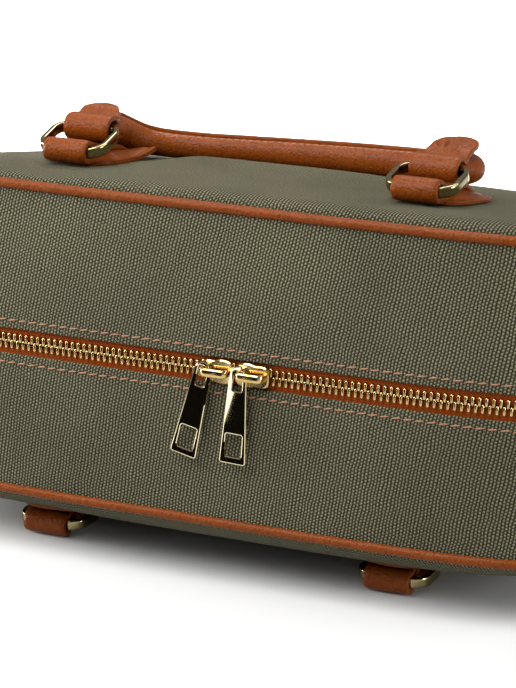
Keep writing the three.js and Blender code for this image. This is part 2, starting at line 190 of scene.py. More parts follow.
@dataclass(frozen=True)
class WovenCanvas(Finish):
    """Cotton canvas in a coarse plain weave: pale knots of yarn in staggered columns, with painted shade
    darkening the gaps between them.
    """

    # knot and gap follow the weave's pattern, and the darker gap colour is painted shade between the yarns
    knot: str = "#74715c"
    gap: str = "#242010"
    column_mm: float = 1.46
    knot_mm: float = 1.46
    lean: float = 0.17  # how far the columns slant
    dip: float = 0.42  # how deep a yarn goes under the next one
    wander_mm: float = 9.0  # the yarns wander off their lines over this length
    wander_by_mm: float = 1.7
    fuzz_mm: float = 0.9
    fuzz: float = 0.6
    gap_height: float = 0.34  # below this height the weave takes the full painted shade of the gap colour
    knot_height: float = 1.02
    patch_mm: float = 45.0  # the size of the paler and darker patches
    patch_low: float = 0.86
    patch_high: float = 1.1
    relief: float = 0.9
    relief_mm: float = 0.5

    def dress(self, tree: NodeTree, shader: Node) -> None:
        """Draws the weave on the cloth's own map, in metres, with painted shade in the gaps.

        Args:
            tree: The material's node tree.
            shader: Its shader node.
        """
        cloth = add_node(tree, "ShaderNodeUVMap", uv_map="cloth")
        wander = add_node(
            tree,
            "ShaderNodeTexNoise",
            {"Vector": cloth.outputs[0], "Scale": 1 / (self.wander_mm * MM), "Detail": 2.0},
        )
        shift = add_node(
            tree,
            "ShaderNodeVectorMath",
            {0: wander.outputs["Color"], 1: (0.5, 0.5, 0.5)},
            operation="SUBTRACT",
        )
        wobbled = add_node(
            tree,
            "ShaderNodeVectorMath",
            {0: shift.outputs[0], 1: (self.wander_by_mm * MM,) * 3, 2: cloth.outputs[0]},
            operation="MULTIPLY_ADD",
        )
        across = add_node(tree, "ShaderNodeSeparateXYZ", {0: wobbled.outputs[0]})
        leaned = add_node(
            tree,
            "ShaderNodeMath",
            {0: across.outputs["Y"], 1: -self.lean, 2: across.outputs["X"]},
            operation="MULTIPLY_ADD",
        )
        half_turn = add_node(
            tree,
            "ShaderNodeMath",
            {0: leaned.outputs[0], 1: math.pi / (self.column_mm * MM)},
            operation="MULTIPLY",
        )
        full_turn = add_node(
            tree,
            "ShaderNodeMath",
            {0: across.outputs["Y"], 1: 2 * math.pi / (self.knot_mm * MM)},
            operation="MULTIPLY",
        )
        parity = add_node(tree, "ShaderNodeMath", {0: half_turn.outputs[0]}, operation="COSINE")
        beat = add_node(tree, "ShaderNodeMath", {0: full_turn.outputs[0]}, operation="COSINE")
        column = add_node(
            tree, "ShaderNodeMath", {0: parity.outputs[0], 1: parity.outputs[0]}, operation="MULTIPLY"
        )
        stagger = add_node(
            tree, "ShaderNodeMath", {0: parity.outputs[0], 1: beat.outputs[0]}, operation="MULTIPLY"
        )
        knots = add_node(
            tree,
            "ShaderNodeMath",
            {0: stagger.outputs[0], 1: self.dip, 2: 1 - self.dip},
            operation="MULTIPLY_ADD",
        )
        height = add_node(
            tree, "ShaderNodeMath", {0: knots.outputs[0], 1: column.outputs[0]}, operation="MULTIPLY"
        )
        fuzz = add_node(
            tree,
            "ShaderNodeTexNoise",
            {"Vector": cloth.outputs[0], "Scale": 1 / (self.fuzz_mm * MM), "Detail": 3.0},
        )
        raised = add_node(
            tree,
            "ShaderNodeMath",
            {0: fuzz.outputs["Fac"], 1: self.fuzz, 2: height.outputs[0]},
            operation="MULTIPLY_ADD",
        )
        # painted shade: the lower the yarn, the darker its colour
        lit = add_node(
            tree,
            "ShaderNodeMapRange",
            {"Value": raised.outputs[0], "From Min": self.gap_height, "From Max": self.knot_height},
            interpolation_type="SMOOTHSTEP",
        )
        yarn = add_node(
            tree,
            "ShaderNodeMix",
            {0: lit.outputs[0], 6: linear(self.gap), 7: linear(self.knot)},
            data_type="RGBA",
        )
        place = add_node(tree, "ShaderNodeTexCoord")
        patches = add_node(
            tree,
            "ShaderNodeTexNoise",
            {"Vector": place.outputs["Object"], "Scale": 1 / (self.patch_mm * MM), "Detail": 3.0},
        )
        tone = add_node(
            tree,
            "ShaderNodeMapRange",
            {
                "Value": patches.outputs["Fac"],
                "From Min": NOISE_LOW,
                "From Max": NOISE_HIGH,
                "To Min": self.patch_low,
                "To Max": self.patch_high,
            },
        )
        toned = add_node(
            tree,
            "ShaderNodeMix",
            {0: 1.0, 6: yarn.outputs[2], 7: tone.outputs[0]},
            data_type="RGBA",
            blend_type="MULTIPLY",
        )
        bump = add_node(
            tree,
            "ShaderNodeBump",
            {"Strength": self.relief, "Distance": self.relief_mm * MM, "Height": raised.outputs[0]},
        )
        tree.links.new(toned.outputs[2], shader.inputs["Base Color"])
        tree.links.new(bump.outputs[0], shader.inputs["Normal"])


@dataclass(frozen=True)
class PebbledLeather(Finish):
    """Cowhide, dyed cognac and plated with a pebbled grain: a satin glow, with painted shade darkening the
    grooves between pebbles.
    """

    tan: str = "#763a0c"
    deep: str = "#602a08"
    # crease is painted shade: the colour that darkens the grooves between pebbles
    crease: str = "#3a1605"
    pebble_mm: float = 1.0
    pore_mm: float = 0.5
    pore_depth: float = 0.25
    fold_mm: float = 14.0  # the size of the worn and the deeper dyed patches
    groove_start: float = 0.35  # how far from a pebble's middle the painted shade of the groove starts
    groove_end: float = 0.85
    groove_share: float = 0.5
    crease_mm: float = 2.2
    crease_stretch: float = 0.22  # the creases run along y and z
    crease_depth: float = 1.5
    relief: float = 0.8
    relief_mm: float = 0.3
    polish: float = 0.06  # how much glossier a pebble's top is
    dullness: float = 0.22  # and how much duller its groove
    dull_from_middle: float = 0.9

    def dress(self, tree: NodeTree, shader: Node) -> None:
        """Draws the grain in the object's own space, with painted shade in its grooves.

        Args:
            tree: The material's node tree.
            shader: Its shader node.
        """
        place = add_node(tree, "ShaderNodeTexCoord")
        pebbles = add_node(
            tree,
            "ShaderNodeTexVoronoi",
            {"Vector": place.outputs["Object"], "Scale": 1 / (self.pebble_mm * MM), "Smoothness": 0.7},
            feature="SMOOTH_F1",
        )
        pores = add_node(
            tree,
            "ShaderNodeTexNoise",
            {"Vector": place.outputs["Object"], "Scale": 1 / (self.pore_mm * MM), "Detail": 3.0},
        )
        folds = add_node(
            tree,
            "ShaderNodeTexNoise",
            {
                "Vector": place.outputs["Object"],
                "Scale": 1 / (self.fold_mm * MM),
                "Detail": 4.0,
                "Roughness": 0.6,
            },
        )
        tone = add_node(
            tree,
            "ShaderNodeMix",
            {0: folds.outputs["Fac"], 6: linear(self.deep), 7: linear(self.tan)},
            data_type="RGBA",
        )
        # painted shade: the further from a pebble's middle, the nearer to the crease colour
        groove = add_node(
            tree,
            "ShaderNodeMapRange",
            {
                "Value": pebbles.outputs["Distance"],
                "From Min": self.groove_start,
                "From Max": self.groove_end,
                "To Max": self.groove_share,
            },
        )
        painted_groove_shade = add_node(
            tree,
            "ShaderNodeMix",
            {0: groove.outputs[0], 6: tone.outputs[2], 7: linear(self.crease)},
            data_type="RGBA",
        )
        stretch = (1.0, self.crease_stretch, self.crease_stretch)
        length = add_node(
            tree, "ShaderNodeMapping", {"Vector": place.outputs["Object"], "Scale": stretch}
        )
        pulls = add_node(
            tree,
            "ShaderNodeTexNoise",
            {"Vector": length.outputs[0], "Scale": 1 / (self.crease_mm * MM), "Detail": 2.0},
        )
        pored = add_node(
            tree,
            "ShaderNodeMath",
            {0: pores.outputs["Fac"], 1: -self.pore_depth, 2: pebbles.outputs["Distance"]},
            operation="MULTIPLY_ADD",
        )
        grain = add_node(
            tree,
            "ShaderNodeMath",
            {0: pulls.outputs["Fac"], 1: -self.crease_depth, 2: pored.outputs[0]},
            operation="MULTIPLY_ADD",
        )
        bump = add_node(
            tree,
            "ShaderNodeBump",
            {"Strength": self.relief, "Distance": self.relief_mm * MM, "Height": grain.outputs[0]},
            invert=True,
        )
        gloss = add_node(
            tree,
            "ShaderNodeMapRange",
            {
                "Value": pebbles.outputs["Distance"],
                "From Max": self.dull_from_middle,
                "To Min": self.roughness - self.polish,
                "To Max": self.roughness + self.dullness,
            },
        )
        tree.links.new(painted_groove_shade.outputs[2], shader.inputs["Base Color"])
        tree.links.new(gloss.outputs[0], shader.inputs["Roughness"])
        tree.links.new(bump.outputs[0], shader.inputs["Normal"])


@dataclass(frozen=True)
class TapeTwill(Finish):
    """Polyester zip tape in a rust twill: fine slanting ribs, matt, with painted shade in the valleys between
    them.
    """

    # rib is the tape's colour on the ribs' tops, and valley is painted shade between them
    rib: str = "#a04a14"
    valley: str = "#5f2608"
    rib_mm: float = 1.1  # coarser than the real 0.7, so that the ribs show
    rib_height: float = 0.28
    slant: float = 0.9
    fuzz_mm: float = 0.8
    relief: float = 0.6
    relief_mm: float = 0.2

    def dress(self, tree: NodeTree, shader: Node) -> None:
        """Draws slanting ribs on the tape's own map, with painted shade in their valleys.

        Args:
            tree: The material's node tree.
            shader: Its shader node.
        """
        cloth = add_node(tree, "ShaderNodeUVMap", uv_map="cloth")
        slope = add_node(
            tree,
            "ShaderNodeVectorMath",
            {0: cloth.outputs[0], 1: (1.0, self.slant, 0.0)},
            operation="DOT_PRODUCT",
        )
        phase = add_node(
            tree,
            "ShaderNodeMath",
            {0: slope.outputs["Value"], 1: 2 * math.pi / (self.rib_mm * MM)},
            operation="MULTIPLY",
        )
        wave = add_node(tree, "ShaderNodeMath", {0: phase.outputs[0]}, operation="SINE")
        fuzz = add_node(
            tree,
            "ShaderNodeTexNoise",
            {"Vector": cloth.outputs[0], "Scale": 1 / (self.fuzz_mm * MM), "Detail": 2.0},
        )
        height = add_node(
            tree,
            "ShaderNodeMath",
            {0: wave.outputs[0], 1: self.rib_height, 2: fuzz.outputs["Fac"]},
            operation="MULTIPLY_ADD",
        )
        # painted shade: the valleys darker than the ribs' tops
        colour = add_node(
            tree,
            "ShaderNodeMix",
            {0: height.outputs[0], 6: linear(self.valley), 7: linear(self.rib)},
            data_type="RGBA",
        )
        bump = add_node(
            tree,
            "ShaderNodeBump",
            {"Strength": self.relief, "Distance": self.relief_mm * MM, "Height": height.outputs[0]},
        )
        tree.links.new(colour.outputs[2], shader.inputs["Base Color"])
        tree.links.new(bump.outputs[0], shader.inputs["Normal"])


@dataclass(frozen=True)
class PlatedMetal(Finish):
    """Plated zinc or brass: a clear reflection with faint tarnish and handling marks."""

    bright: str = "#efe3c4"
    dull: str = "#dcc795"
    tarnish_mm: float = 6.0
    polished: float = 0.7  # the roughness of the clear places, as a share of the mean
    handled: float = 1.4

    def dress(self, tree: NodeTree, shader: Node) -> None:
        """Mottles the plating's colour and gloss.

        Args:
            tree: The material's node tree.
            shader: Its shader node.
        """
        place = add_node(tree, "ShaderNodeTexCoord")
        tarnish = add_node(
            tree,
            "ShaderNodeTexNoise",
            {"Vector": place.outputs["Object"], "Scale": 1 / (self.tarnish_mm * MM), "Detail": 1.0},
        )
        colour = add_node(
            tree,
            "ShaderNodeMix",
            {0: tarnish.outputs["Fac"], 6: linear(self.bright), 7: linear(self.dull)},
            data_type="RGBA",
        )
        gloss = add_node(
            tree,
            "ShaderNodeMapRange",
            {
                "Value": tarnish.outputs["Fac"],
                "From Min": NOISE_LOW,
                "From Max": NOISE_HIGH,
                "To Min": self.polished * self.roughness,
                "To Max": self.handled * self.roughness,
            },
        )
        tree.links.new(colour.outputs[2], shader.inputs["Base Color"])
        tree.links.new(gloss.outputs[0], shader.inputs["Roughness"])


@dataclass(frozen=True)
class SewingThread(Finish):
    """Bonded polyester thread in peach: a soft lustre with a fine twist."""

    light: str = "#9a6e4e"
    dark: str = "#633f25"
    twist_mm: float = 0.7
    relief: float = 0.4
    relief_mm: float = 0.1

    def dress(self, tree: NodeTree, shader: Node) -> None:
        """Mottles the thread along its length.

        Args:
            tree: The material's node tree.
            shader: Its shader node.
        """
        place = add_node(tree, "ShaderNodeTexCoord")
        twist = add_node(
            tree,
            "ShaderNodeTexNoise",
            {"Vector": place.outputs["Object"], "Scale": 1 / (self.twist_mm * MM), "Detail": 2.0},
        )
        colour = add_node(
            tree,
            "ShaderNodeMix",
            {0: twist.outputs["Fac"], 6: linear(self.dark), 7: linear(self.light)},
            data_type="RGBA",
        )
        bump = add_node(
            tree,
            "ShaderNodeBump",
            {"Strength": self.relief, "Distance": self.relief_mm * MM, "Height": twist.outputs["Fac"]},
        )
        tree.links.new(colour.outputs[2], shader.inputs["Base Color"])
        tree.links.new(bump.outputs[0], shader.inputs["Normal"])


CANVAS = WovenCanvas("woven_canvas", Slot.CANVAS, roughness=0.9, specular=0.15)
LEATHER = PebbledLeather("pebbled_cowhide", Slot.LEATHER, roughness=0.26, specular=0.11)
TWILL = TapeTwill("zip_tape_twill", Slot.ZIP_TAPE, roughness=0.85, specular=0.1)
GOLD = PlatedMetal("polished_gold_plate", Slot.GOLD, roughness=0.02, metallic=1.0)
SATIN = PlatedMetal(
    "satin_gold_plate", Slot.GOLD, roughness=0.13, metallic=1.0, bright="#dcc794", dull="#b8934c"
)
TOOTH = PlatedMetal(
    "rubbed_gold_plate", Slot.GOLD, roughness=0.16, metallic=1.0, bright="#cfb983", dull="#a98d58"
)
BRASS = PlatedMetal(
    "antique_brass", Slot.BRASS, roughness=0.13, metallic=1.0, bright="#a89b72", dull="#82754e"
)
THREAD = SewingThread("peach_thread", Slot.LEATHER, roughness=0.6)


# Mesh making


def placed_grid(
    columns: int,
    rows: int,
    place: Place,
    cloth: Callable[[float, float], tuple[float, float]] | None = None,
) -> BMesh:
    """A grid whose points are placed by a function of their two shares, 0 to 1 along and across.

    Args:
        columns: Faces along.
        rows: Faces across.
        place: The point for a share along and a share across, in millimetres.
        cloth: The flat cloth's coordinates there, in millimetres, for a weave.

    Returns:
        The grid, with points that fall together merged.
    """
    bm = bmesh.new()
    bmesh.ops.create_grid(bm, x_segments=columns, y_segments=rows, size=0.5)
    spots = {vert: (vert.co.x + 0.5, vert.co.y + 0.5) for vert in bm.verts}
    if cloth is not None:
        layer = bm.loops.layers.uv.new("cloth")
        for face in bm.faces:
            for loop in face.loops:
                loop[layer].uv = Vector(cloth(*spots[loop.vert])) * MM
    for vert, spot in spots.items():
        vert.co = place(*spot)
    bmesh.ops.remove_doubles(bm, verts=bm.verts[:], dist=MERGE)
    return bm


def rounded_reach(along: float, across: float, power: float) -> float:
    """How far out a point is in a rounded square, 1 on its outline; a higher power is squarer."""
    return (abs(along) ** power + abs(across) ** power) ** (1 / power)


def rounded_place(s: float, t: float, power: float) -> tuple[float, float, float]:
    """Takes a place of a square grid to its place in a rounded square.

    Args:
        s: The share along the grid.
        t: The share across it.
        power: The rounded square's power.

    Returns:
        The place along and across, each from -1 to 1, and its reach from 0 in the middle to 1 on the outline.
    """
    along, across = 2 * s - 1, 2 * t - 1
    reach = max(abs(along), abs(across))
    scale = reach / rounded_reach(along, across, power) if reach > 0 else 0.0
    return along * scale, across * scale, reach


def rounded_loop(
    half_wide: float, half_high: float, corner: float, steps: int
) -> list[tuple[Vector, Vector]]:
    """Goes round a rectangle with round corners.

    Args:
        half_wide: Half its width, along x.
        half_high: Half its height, along y.
        corner: The radius of its corners.
        steps: Points to a corner, less one.

    Returns:
        Each point, and the way out there.
    """
    loop = []
    for quarter, (sign_x, sign_y) in enumerate(((1, 1), (-1, 1), (-1, -1), (1, -1))):
        centre = Vector((sign_x * (half_wide - corner), sign_y * (half_high - corner), 0))
        for k in range(steps + 1):
            angle = math.pi / 2 * (quarter + k / steps)
            outward = Vector((math.cos(angle), math.sin(angle), 0))
            loop.append((centre + outward * corner, outward))
    return loop


def arc(centre: Vector, radius: float, start: float, sweep: float, steps: int = 24) -> list[Vector]:
    """Goes along an arc in the y-z plane.

    Args:
        centre: The arc's centre.
        radius: Its radius.
        start: The angle of its first point, in degrees from y towards z.
        sweep: The angle that it covers.
        steps: Points, less one.

    Returns:
        The points.
    """
    angles = [math.radians(start + sweep * k / steps) for k in range(steps + 1)]
    return [centre + Vector((0, radius * math.cos(angle), radius * math.sin(angle))) for angle in angles]


def headings(route: Sequence[Vector]) -> list[Vector]:
    """The direction of a route at each of its points."""
    stretched = [route[0], *route, route[-1]]
    return [(after - before).normalized() for before, after in zip(stretched, stretched[2:])]


@dataclass(frozen=True)
class Section:
    """A cross-section of a swept piece: its centre, its two axes and its half sizes along them."""

    centre: Vector
    across: Vector
    out: Vector
    wide: float
    thick: float
    squareness: float = 2.0

    def point(self, turn: float) -> Vector:
        """Finds a point of the outline.

        Args:
            turn: Its share of a full turn.

        Returns:
            The point.
        """
        along, up = math.cos(2 * math.pi * turn), math.sin(2 * math.pi * turn)
        reach = rounded_reach(along, up, self.squareness)
        return self.centre + self.across * (self.wide * along / reach) + self.out * (self.thick * up / reach)


def swept(sections: Sequence[Section], sides: int, closed: bool = False) -> BMesh:
    """Sweeps an outline through its sections.

    Args:
        sections: The cross-sections in order.
        sides: Faces round the outline.
        closed: Whether the last section joins the first.

    Returns:
        A closed solid.
    """
    last = len(sections) if closed else len(sections) - 1
    bm = placed_grid(last, sides, lambda s, t: sections[round(s * last) % len(sections)].point(t))
    bmesh.ops.holes_fill(bm, edges=[edge for edge in bm.edges if edge.is_boundary], sides=0)
    bmesh.ops.recalc_face_normals(bm, faces=bm.faces[:])
    return bm


def scattered(template: BMesh, places: Iterable[Matrix]) -> BMesh:
    """Copies a small shape to many places in one mesh.

    Args:
        template: The shape, which is used up.
        places: The place of each copy.

    Returns:
        All the copies.
    """
    shape = bpy.data.meshes.new("shape")
    template.to_mesh(shape)
    template.free()
    bm = bmesh.new()
    for place in places:
        copy = shape.copy()
        copy.transform(place)
        bm.from_mesh(copy)
        bpy.data.meshes.remove(copy)
    bpy.data.meshes.remove(shape)
    return bm


def moved(bm: BMesh, place: Matrix) -> BMesh:
    """Moves a whole shape to its place."""
    bmesh.ops.transform(bm, matrix=place, verts=bm.verts[:])
    return bm


def basis(along: Vector, across: Vector, out: Vector, centre: Vector) -> Matrix:
    """Makes the matrix that takes x, y and z to three directions at a point.

    Args:
        along: The direction of x.
        across: The direction of y.
        out: The direction of z.
        centre: The point.

    Returns:
        The matrix.
    """
    matrix = Matrix((along, across, out)).transposed().to_4x4()
    matrix.translation = centre
    return matrix


def faced(bm: BMesh, middle: Vector) -> BMesh:
    """Turns an open sheet's faces outwards.

    Args:
        bm: The sheet.
        middle: A point inside the bag.

    Returns:
        The same sheet.
    """
    lean = sum(f.normal.dot(f.calc_center_median() - middle) * f.calc_area() for f in bm.faces)
    if lean < 0:
        bmesh.ops.reverse_faces(bm, faces=bm.faces[:])
    return bm


@dataclass(frozen=True)
class Softening:
    """What modifiers add to a piece: a wall below its face and rounded edges."""

    wall: float = 0.0
    bevel: float = 0.0
    bevel_angle: float = 40.0  # the least turn that counts as an edge, in degrees
    bevel_segments: int = 3


def publish(
    name: str,
    bm: BMesh,
    finish: Finish,
    body: Body,
    replaces: Sequence[str] = (),
    softening: Softening = Softening(),
) -> Object:
    """Makes a finished piece of a mesh in millimetres, and lets it ride on its body.

    Args:
        name: The piece's name.
        bm: Its mesh, which is used up.
        finish: Its surface.
        body: The body that it moves with.
        replaces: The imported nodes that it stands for.
        softening: Modifiers that finish it.

    Returns:
        The piece.
    """
    bmesh.ops.scale(bm, vec=Vector((MM, MM, MM)), verts=bm.verts[:])
    for face in bm.faces:
        face.smooth = True
    mesh = bpy.data.meshes.new(name)
    bm.to_mesh(mesh)
    bm.free()
    mesh.materials.append(finish.material)
    piece = bpy.data.objects.new(name, mesh)
    bpy.context.scene.collection.objects.link(piece)
    if softening.wall:
        solidify = piece.modifiers.new("wall", "SOLIDIFY")
        solidify.thickness = softening.wall * MM
        solidify.offset = -1
    if softening.bevel:
        bevel = piece.modifiers.new("edge", "BEVEL")
        bevel.width = softening.bevel * MM
        bevel.segments = softening.bevel_segments
        bevel.limit_method = "ANGLE"
        bevel.angle_limit = math.radians(softening.bevel_angle)
        bevel.harden_normals = True
    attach(piece, body.value)
    if replaces:
        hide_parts(*replaces)
    LOG.info("%s: %d faces, %.4f m2", name, len(mesh.polygons), sum(p.area for p in mesh.polygons))
    return piece


def blended(rows: Sequence[Vector], share: float) -> Vector:
    """A smooth curve through rows of numbers.

    Args:
        rows: The rows, as vectors of one size.
        share: 0 at the first row and 1 at the last.

    Returns:
        The row at that share.
    """
    last = len(rows) - 1
    k = min(int(share * last), last - 1)
    part = share * last - k
    here, there = rows[k], rows[k + 1]
    before = rows[k - 1] if k > 0 else 2 * here - there
    after = rows[k + 2] if k + 2 <= last else 2 * there - here
    line = 2 * here + (there - before) * part
    bend = (2 * before - 5 * here + 4 * there - after) * part**2
    twist = (3 * here - before - 3 * there + after) * part**3
    return 0.5 * (line + bend + twist)


def smoothstep(value: float, low: float, high: float) -> float:
    """Rises smoothly from 0 at low to 1 at high."""
    share = min(1.0, max(0.0, (value - low) / (high - low)))
    return share * share * (3 - 2 * share)


# The bag's form


@dataclass(frozen=True)
class SeamPlane:
    """The plane of a panel's seam, with the dome that the stuffing gives the panel."""

    y: float
    z: float
    fall: float  # how far it falls towards the base, in degrees
    dome: float
    plump: float  # how far the stuffing rounds the edge along the zip
    droop: float = 0.0  # how far the far left corner sags
    droop_start: float = 125.0
    droop_end: float = 180.0
    droop_across: float = 90.0

    @property
    def slope(self) -> float:
        """The fall in radians."""
        return math.radians(self.fall)

    def point(self, u: float, w: float) -> Vector:
        """Finds a point of the plane.

        Args:
            u: Millimetres along the bag.
            w: Millimetres from the zip to the base, 0 at the panel's middle.

        Returns:
            The point.
        """
        sag = smoothstep(-u, self.droop_start, self.droop_end) * smoothstep(w, 0, self.droop_across)
        height = self.z - w * math.sin(self.slope) - self.droop * sag
        return Vector((u, self.y + w * math.cos(self.slope), height))


@dataclass(frozen=True)
class BagForm:
    """The stuffed bag: a rounded outline, two domed panels and the gusset between them.

    In its methods, u is millimetres along the bag and w millimetres from the zip to the base, both from a
    panel's middle. A turn is a share of the way round the outline, from 0 at the base's middle to 0.5 at
    the zip's.
    """

    half_length: float = 180.0
    half_height: float = 110.0
    squareness: float = 5.0
    front: SeamPlane = SeamPlane(y=-46.3, z=140.3, fall=11.2, dome=11.5, plump=12.0, droop=2.6)
    back: SeamPlane = SeamPlane(y=-56.3, z=20.8, fall=3.9, dome=30.0, plump=4.5)
    dome_power: float = 0.8
    plump_rise: float = 7.0
    plump_fade: float = 11.0
    plump_start: float = 30.0  # how far from a panel's middle the plump edge starts, towards the zip
    plump_full: float = 85.0
    plump_slack: float = 3.6  # the cloth's extra length over the plump edge
    # where the swung handle's ends press the plump edge in, and by what share
    dents: tuple[tuple[float, float], ...] = ((-78.0, 0.6), (80.0, 0.1))
    dent_half: float = 22.0
    canvas: float = 1.6
    bow_zip: float = 4.8
    bow_base: float = 14.0
    zip_half_turn: float = 0.2089
    lift_on_tabs: float = 14.3
    lift_on_grip: float = 12.2
    tabs_end: float = -84.0
    grip_start: float = -66.0
    grip_end: float = -58.0
    floor_start: float = -22.0
    rim_steps: int = 2880
    middle: Vector = field(default_factory=lambda: Vector((0.0, -55.0, 80.0)))

    def plane(self, half: Half) -> SeamPlane:
        """The seam plane of one half."""
        return self.front if half is Half.FRONT else self.back

    def reach(self, u: float, w: float) -> float:
        """0 at a panel's middle and 1 on its outline."""
        return rounded_reach(u / self.half_length, w / self.half_height, self.squareness)

    def rim(self, turn: float) -> tuple[float, float]:
        """Finds a point of the outline.

        Args:
            turn: Its share of a turn.

        Returns:
            The point's u and w.
        """
        u, w = math.sin(2 * math.pi * turn), math.cos(2 * math.pi * turn)
        reach = self.reach(u, w)
        return u / reach, w / reach

    def rim_normal(self, u: float, w: float) -> Vector:
        """Finds the direction out of the outline.

        Args:
            u: The place along the bag.
            w: The place across it.

        Returns:
            The direction, level with the floor.
        """
        power = self.squareness - 1
        ends = math.copysign(abs(u / self.half_length) ** power, u) / self.half_length
        edges = math.copysign(abs(w / self.half_height) ** power, w) / self.half_height
        return Vector((ends, edges, 0)).normalized()

    @cached_property
    def travel(self) -> list[float]:
        """The distance round the outline at each of many even shares of a turn, from the zip's middle."""
        points = [Vector(self.rim(0.5 - k / self.rim_steps)) for k in range(self.rim_steps + 1)]
        total = [0.0]
        for here, there in zip(points, points[1:]):
            total.append(total[-1] + (there - here).length)
        return total

    @property
    def round_length(self) -> float:
        """The length of the whole outline."""
        return self.travel[-1]

    def turn_at(self, distance: float) -> float:
        """Finds a place on the outline.

        Args:
            distance: Its distance along the outline from the zip's middle, to the right.

        Returns:
            Its share of a turn.
        """
        wanted = distance % self.round_length
        low, high = 0, self.rim_steps
        while high - low > 1:
            half = (low + high) // 2
            low, high = (half, high) if self.travel[half] <= wanted else (low, half)
        part = (wanted - self.travel[low]) / (self.travel[high] - self.travel[low])
        return 0.5 - (low + part) / self.rim_steps

    @cached_property
    def zip_reach(self) -> float:
        """The distance from the zip's middle to either end of it."""
        return self.travel[round(self.zip_half_turn * self.rim_steps)]

    def rest_height(self, y: float) -> float:
        """Finds how high the folded-under handle and the floor hold the back panel.

        Args:
            y: The place across the floor.

        Returns:
            The least height of the panel there.
        """
        fall = smoothstep(y, self.tabs_end, self.grip_start)
        on_grip = self.lift_on_tabs + (self.lift_on_grip - self.lift_on_tabs) * fall
        return on_grip * (1 - smoothstep(y, self.grip_end, self.floor_start))

    def zip_side(self, w: float) -> float:
        """0 in a panel's middle and 1 along its zip side, where its edge is plump."""
        return smoothstep(-w, self.plump_start, self.plump_full)

    def dome(self, plane: SeamPlane, u: float, w: float, reach: float) -> float:
        """Finds how far the stuffing pushes a panel out: a dome with a plump edge along the zip side.

        Args:
            plane: The panel's seam plane.
            u: The place along the bag.
            w: The place across it.
            reach: 0 at the panel's middle and 1 on its outline.

        Returns:
            Millimetres out of the plane.
        """
        edge = (1 - reach) * self.half_height
        pressed = sum(depth * math.exp(-(((u - x) / self.dent_half) ** 2)) for x, depth in self.dents)
        fade = self.plump_fade * (1 - pressed)
        plump = plane.plump * self.zip_side(w)
        rounded = plump * (1 - math.exp(-edge / self.plump_rise)) * math.exp(-edge / fade)
        return plane.dome * max(0.0, 1 - reach**2) ** self.dome_power + rounded

    def face(self, half: Half, u: float, w: float, reach: float) -> Vector:
        """Finds a point on a panel's outer face. The back panel is flattened where it rests.

        Args:
            half: The panel's half of the bag.
            u: The place along the bag.
            w: The place across it.
            reach: 0 at the panel's middle and 1 on its outline.

        Returns:
            The point.
        """
        plane = self.plane(half)
        point = plane.point(u, w)
        height = point.z + half.value * (self.dome(plane, u, w, reach) + self.canvas / 2)
        point.z = height if half is Half.FRONT else max(height, self.rest_height(point.y))
        return point

    def face_height(self, half: Half, x: float, y: float) -> float:
        """Finds the height of a panel's outer face.

        Args:
            half: The panel's half of the bag.
            x: The place along the floor.
            y: The place across it.

        Returns:
            The height above the floor.
        """
        plane = self.plane(half)
        w = (y - plane.y) / math.cos(plane.slope)
        return self.face(half, x, w, min(1.0, self.reach(x, w))).z

    def half_span(self, turn: float) -> float:
        """Half the distance between the two seams."""
        u, w = self.rim(turn)
        return (self.front.point(u, w) - self.back.point(u, w)).length / 2

    def gusset(self, turn: float, from_zip: float, depth: float) -> Vector:
        """Finds a point of the gusset.

        Args:
            turn: Its share of a turn.
            from_zip: Its distance from the zip line, towards the front seam.
            depth: Its depth below the cloth's face.

        Returns:
            The point.
        """
        u, w = self.rim(turn)
        back, front = self.back.point(u, w), self.front.point(u, w)
        part = 0.5 + from_zip / (front - back).length
        share = 0.5 + w / (2 * self.half_height)
        bow = (self.bow_zip + (self.bow_base - self.bow_zip) * share) * 4 * part * (1 - part)
        return back.lerp(front, part) + self.rim_normal(u, w) * (bow - depth)

    def zip_frame(self, distance: float, from_zip: float = 0.0, depth: float = 0.0) -> Matrix:
        """Finds the frame of a place on the gusset: x along, y towards the front seam, z out.

        Args:
            distance: Its distance along the outline from the zip's middle, to the right.
            from_zip: Its distance from the zip line, towards the front seam.
            depth: Its depth below the cloth's face.

        Returns:
            The frame.
        """
        turn = self.turn_at(distance)
        centre = self.gusset(turn, from_zip, depth)
        ahead = self.gusset(self.turn_at(distance + 1), from_zip, depth)
        behind = self.gusset(self.turn_at(distance - 1), from_zip, depth)
        along = (ahead - behind).normalized()
        across = self.gusset(turn, from_zip + 1, depth) - self.gusset(turn, from_zip - 1, depth)
        out = along.cross(across.normalized()).normalized()
        return basis(along, out.cross(along), out, centre)


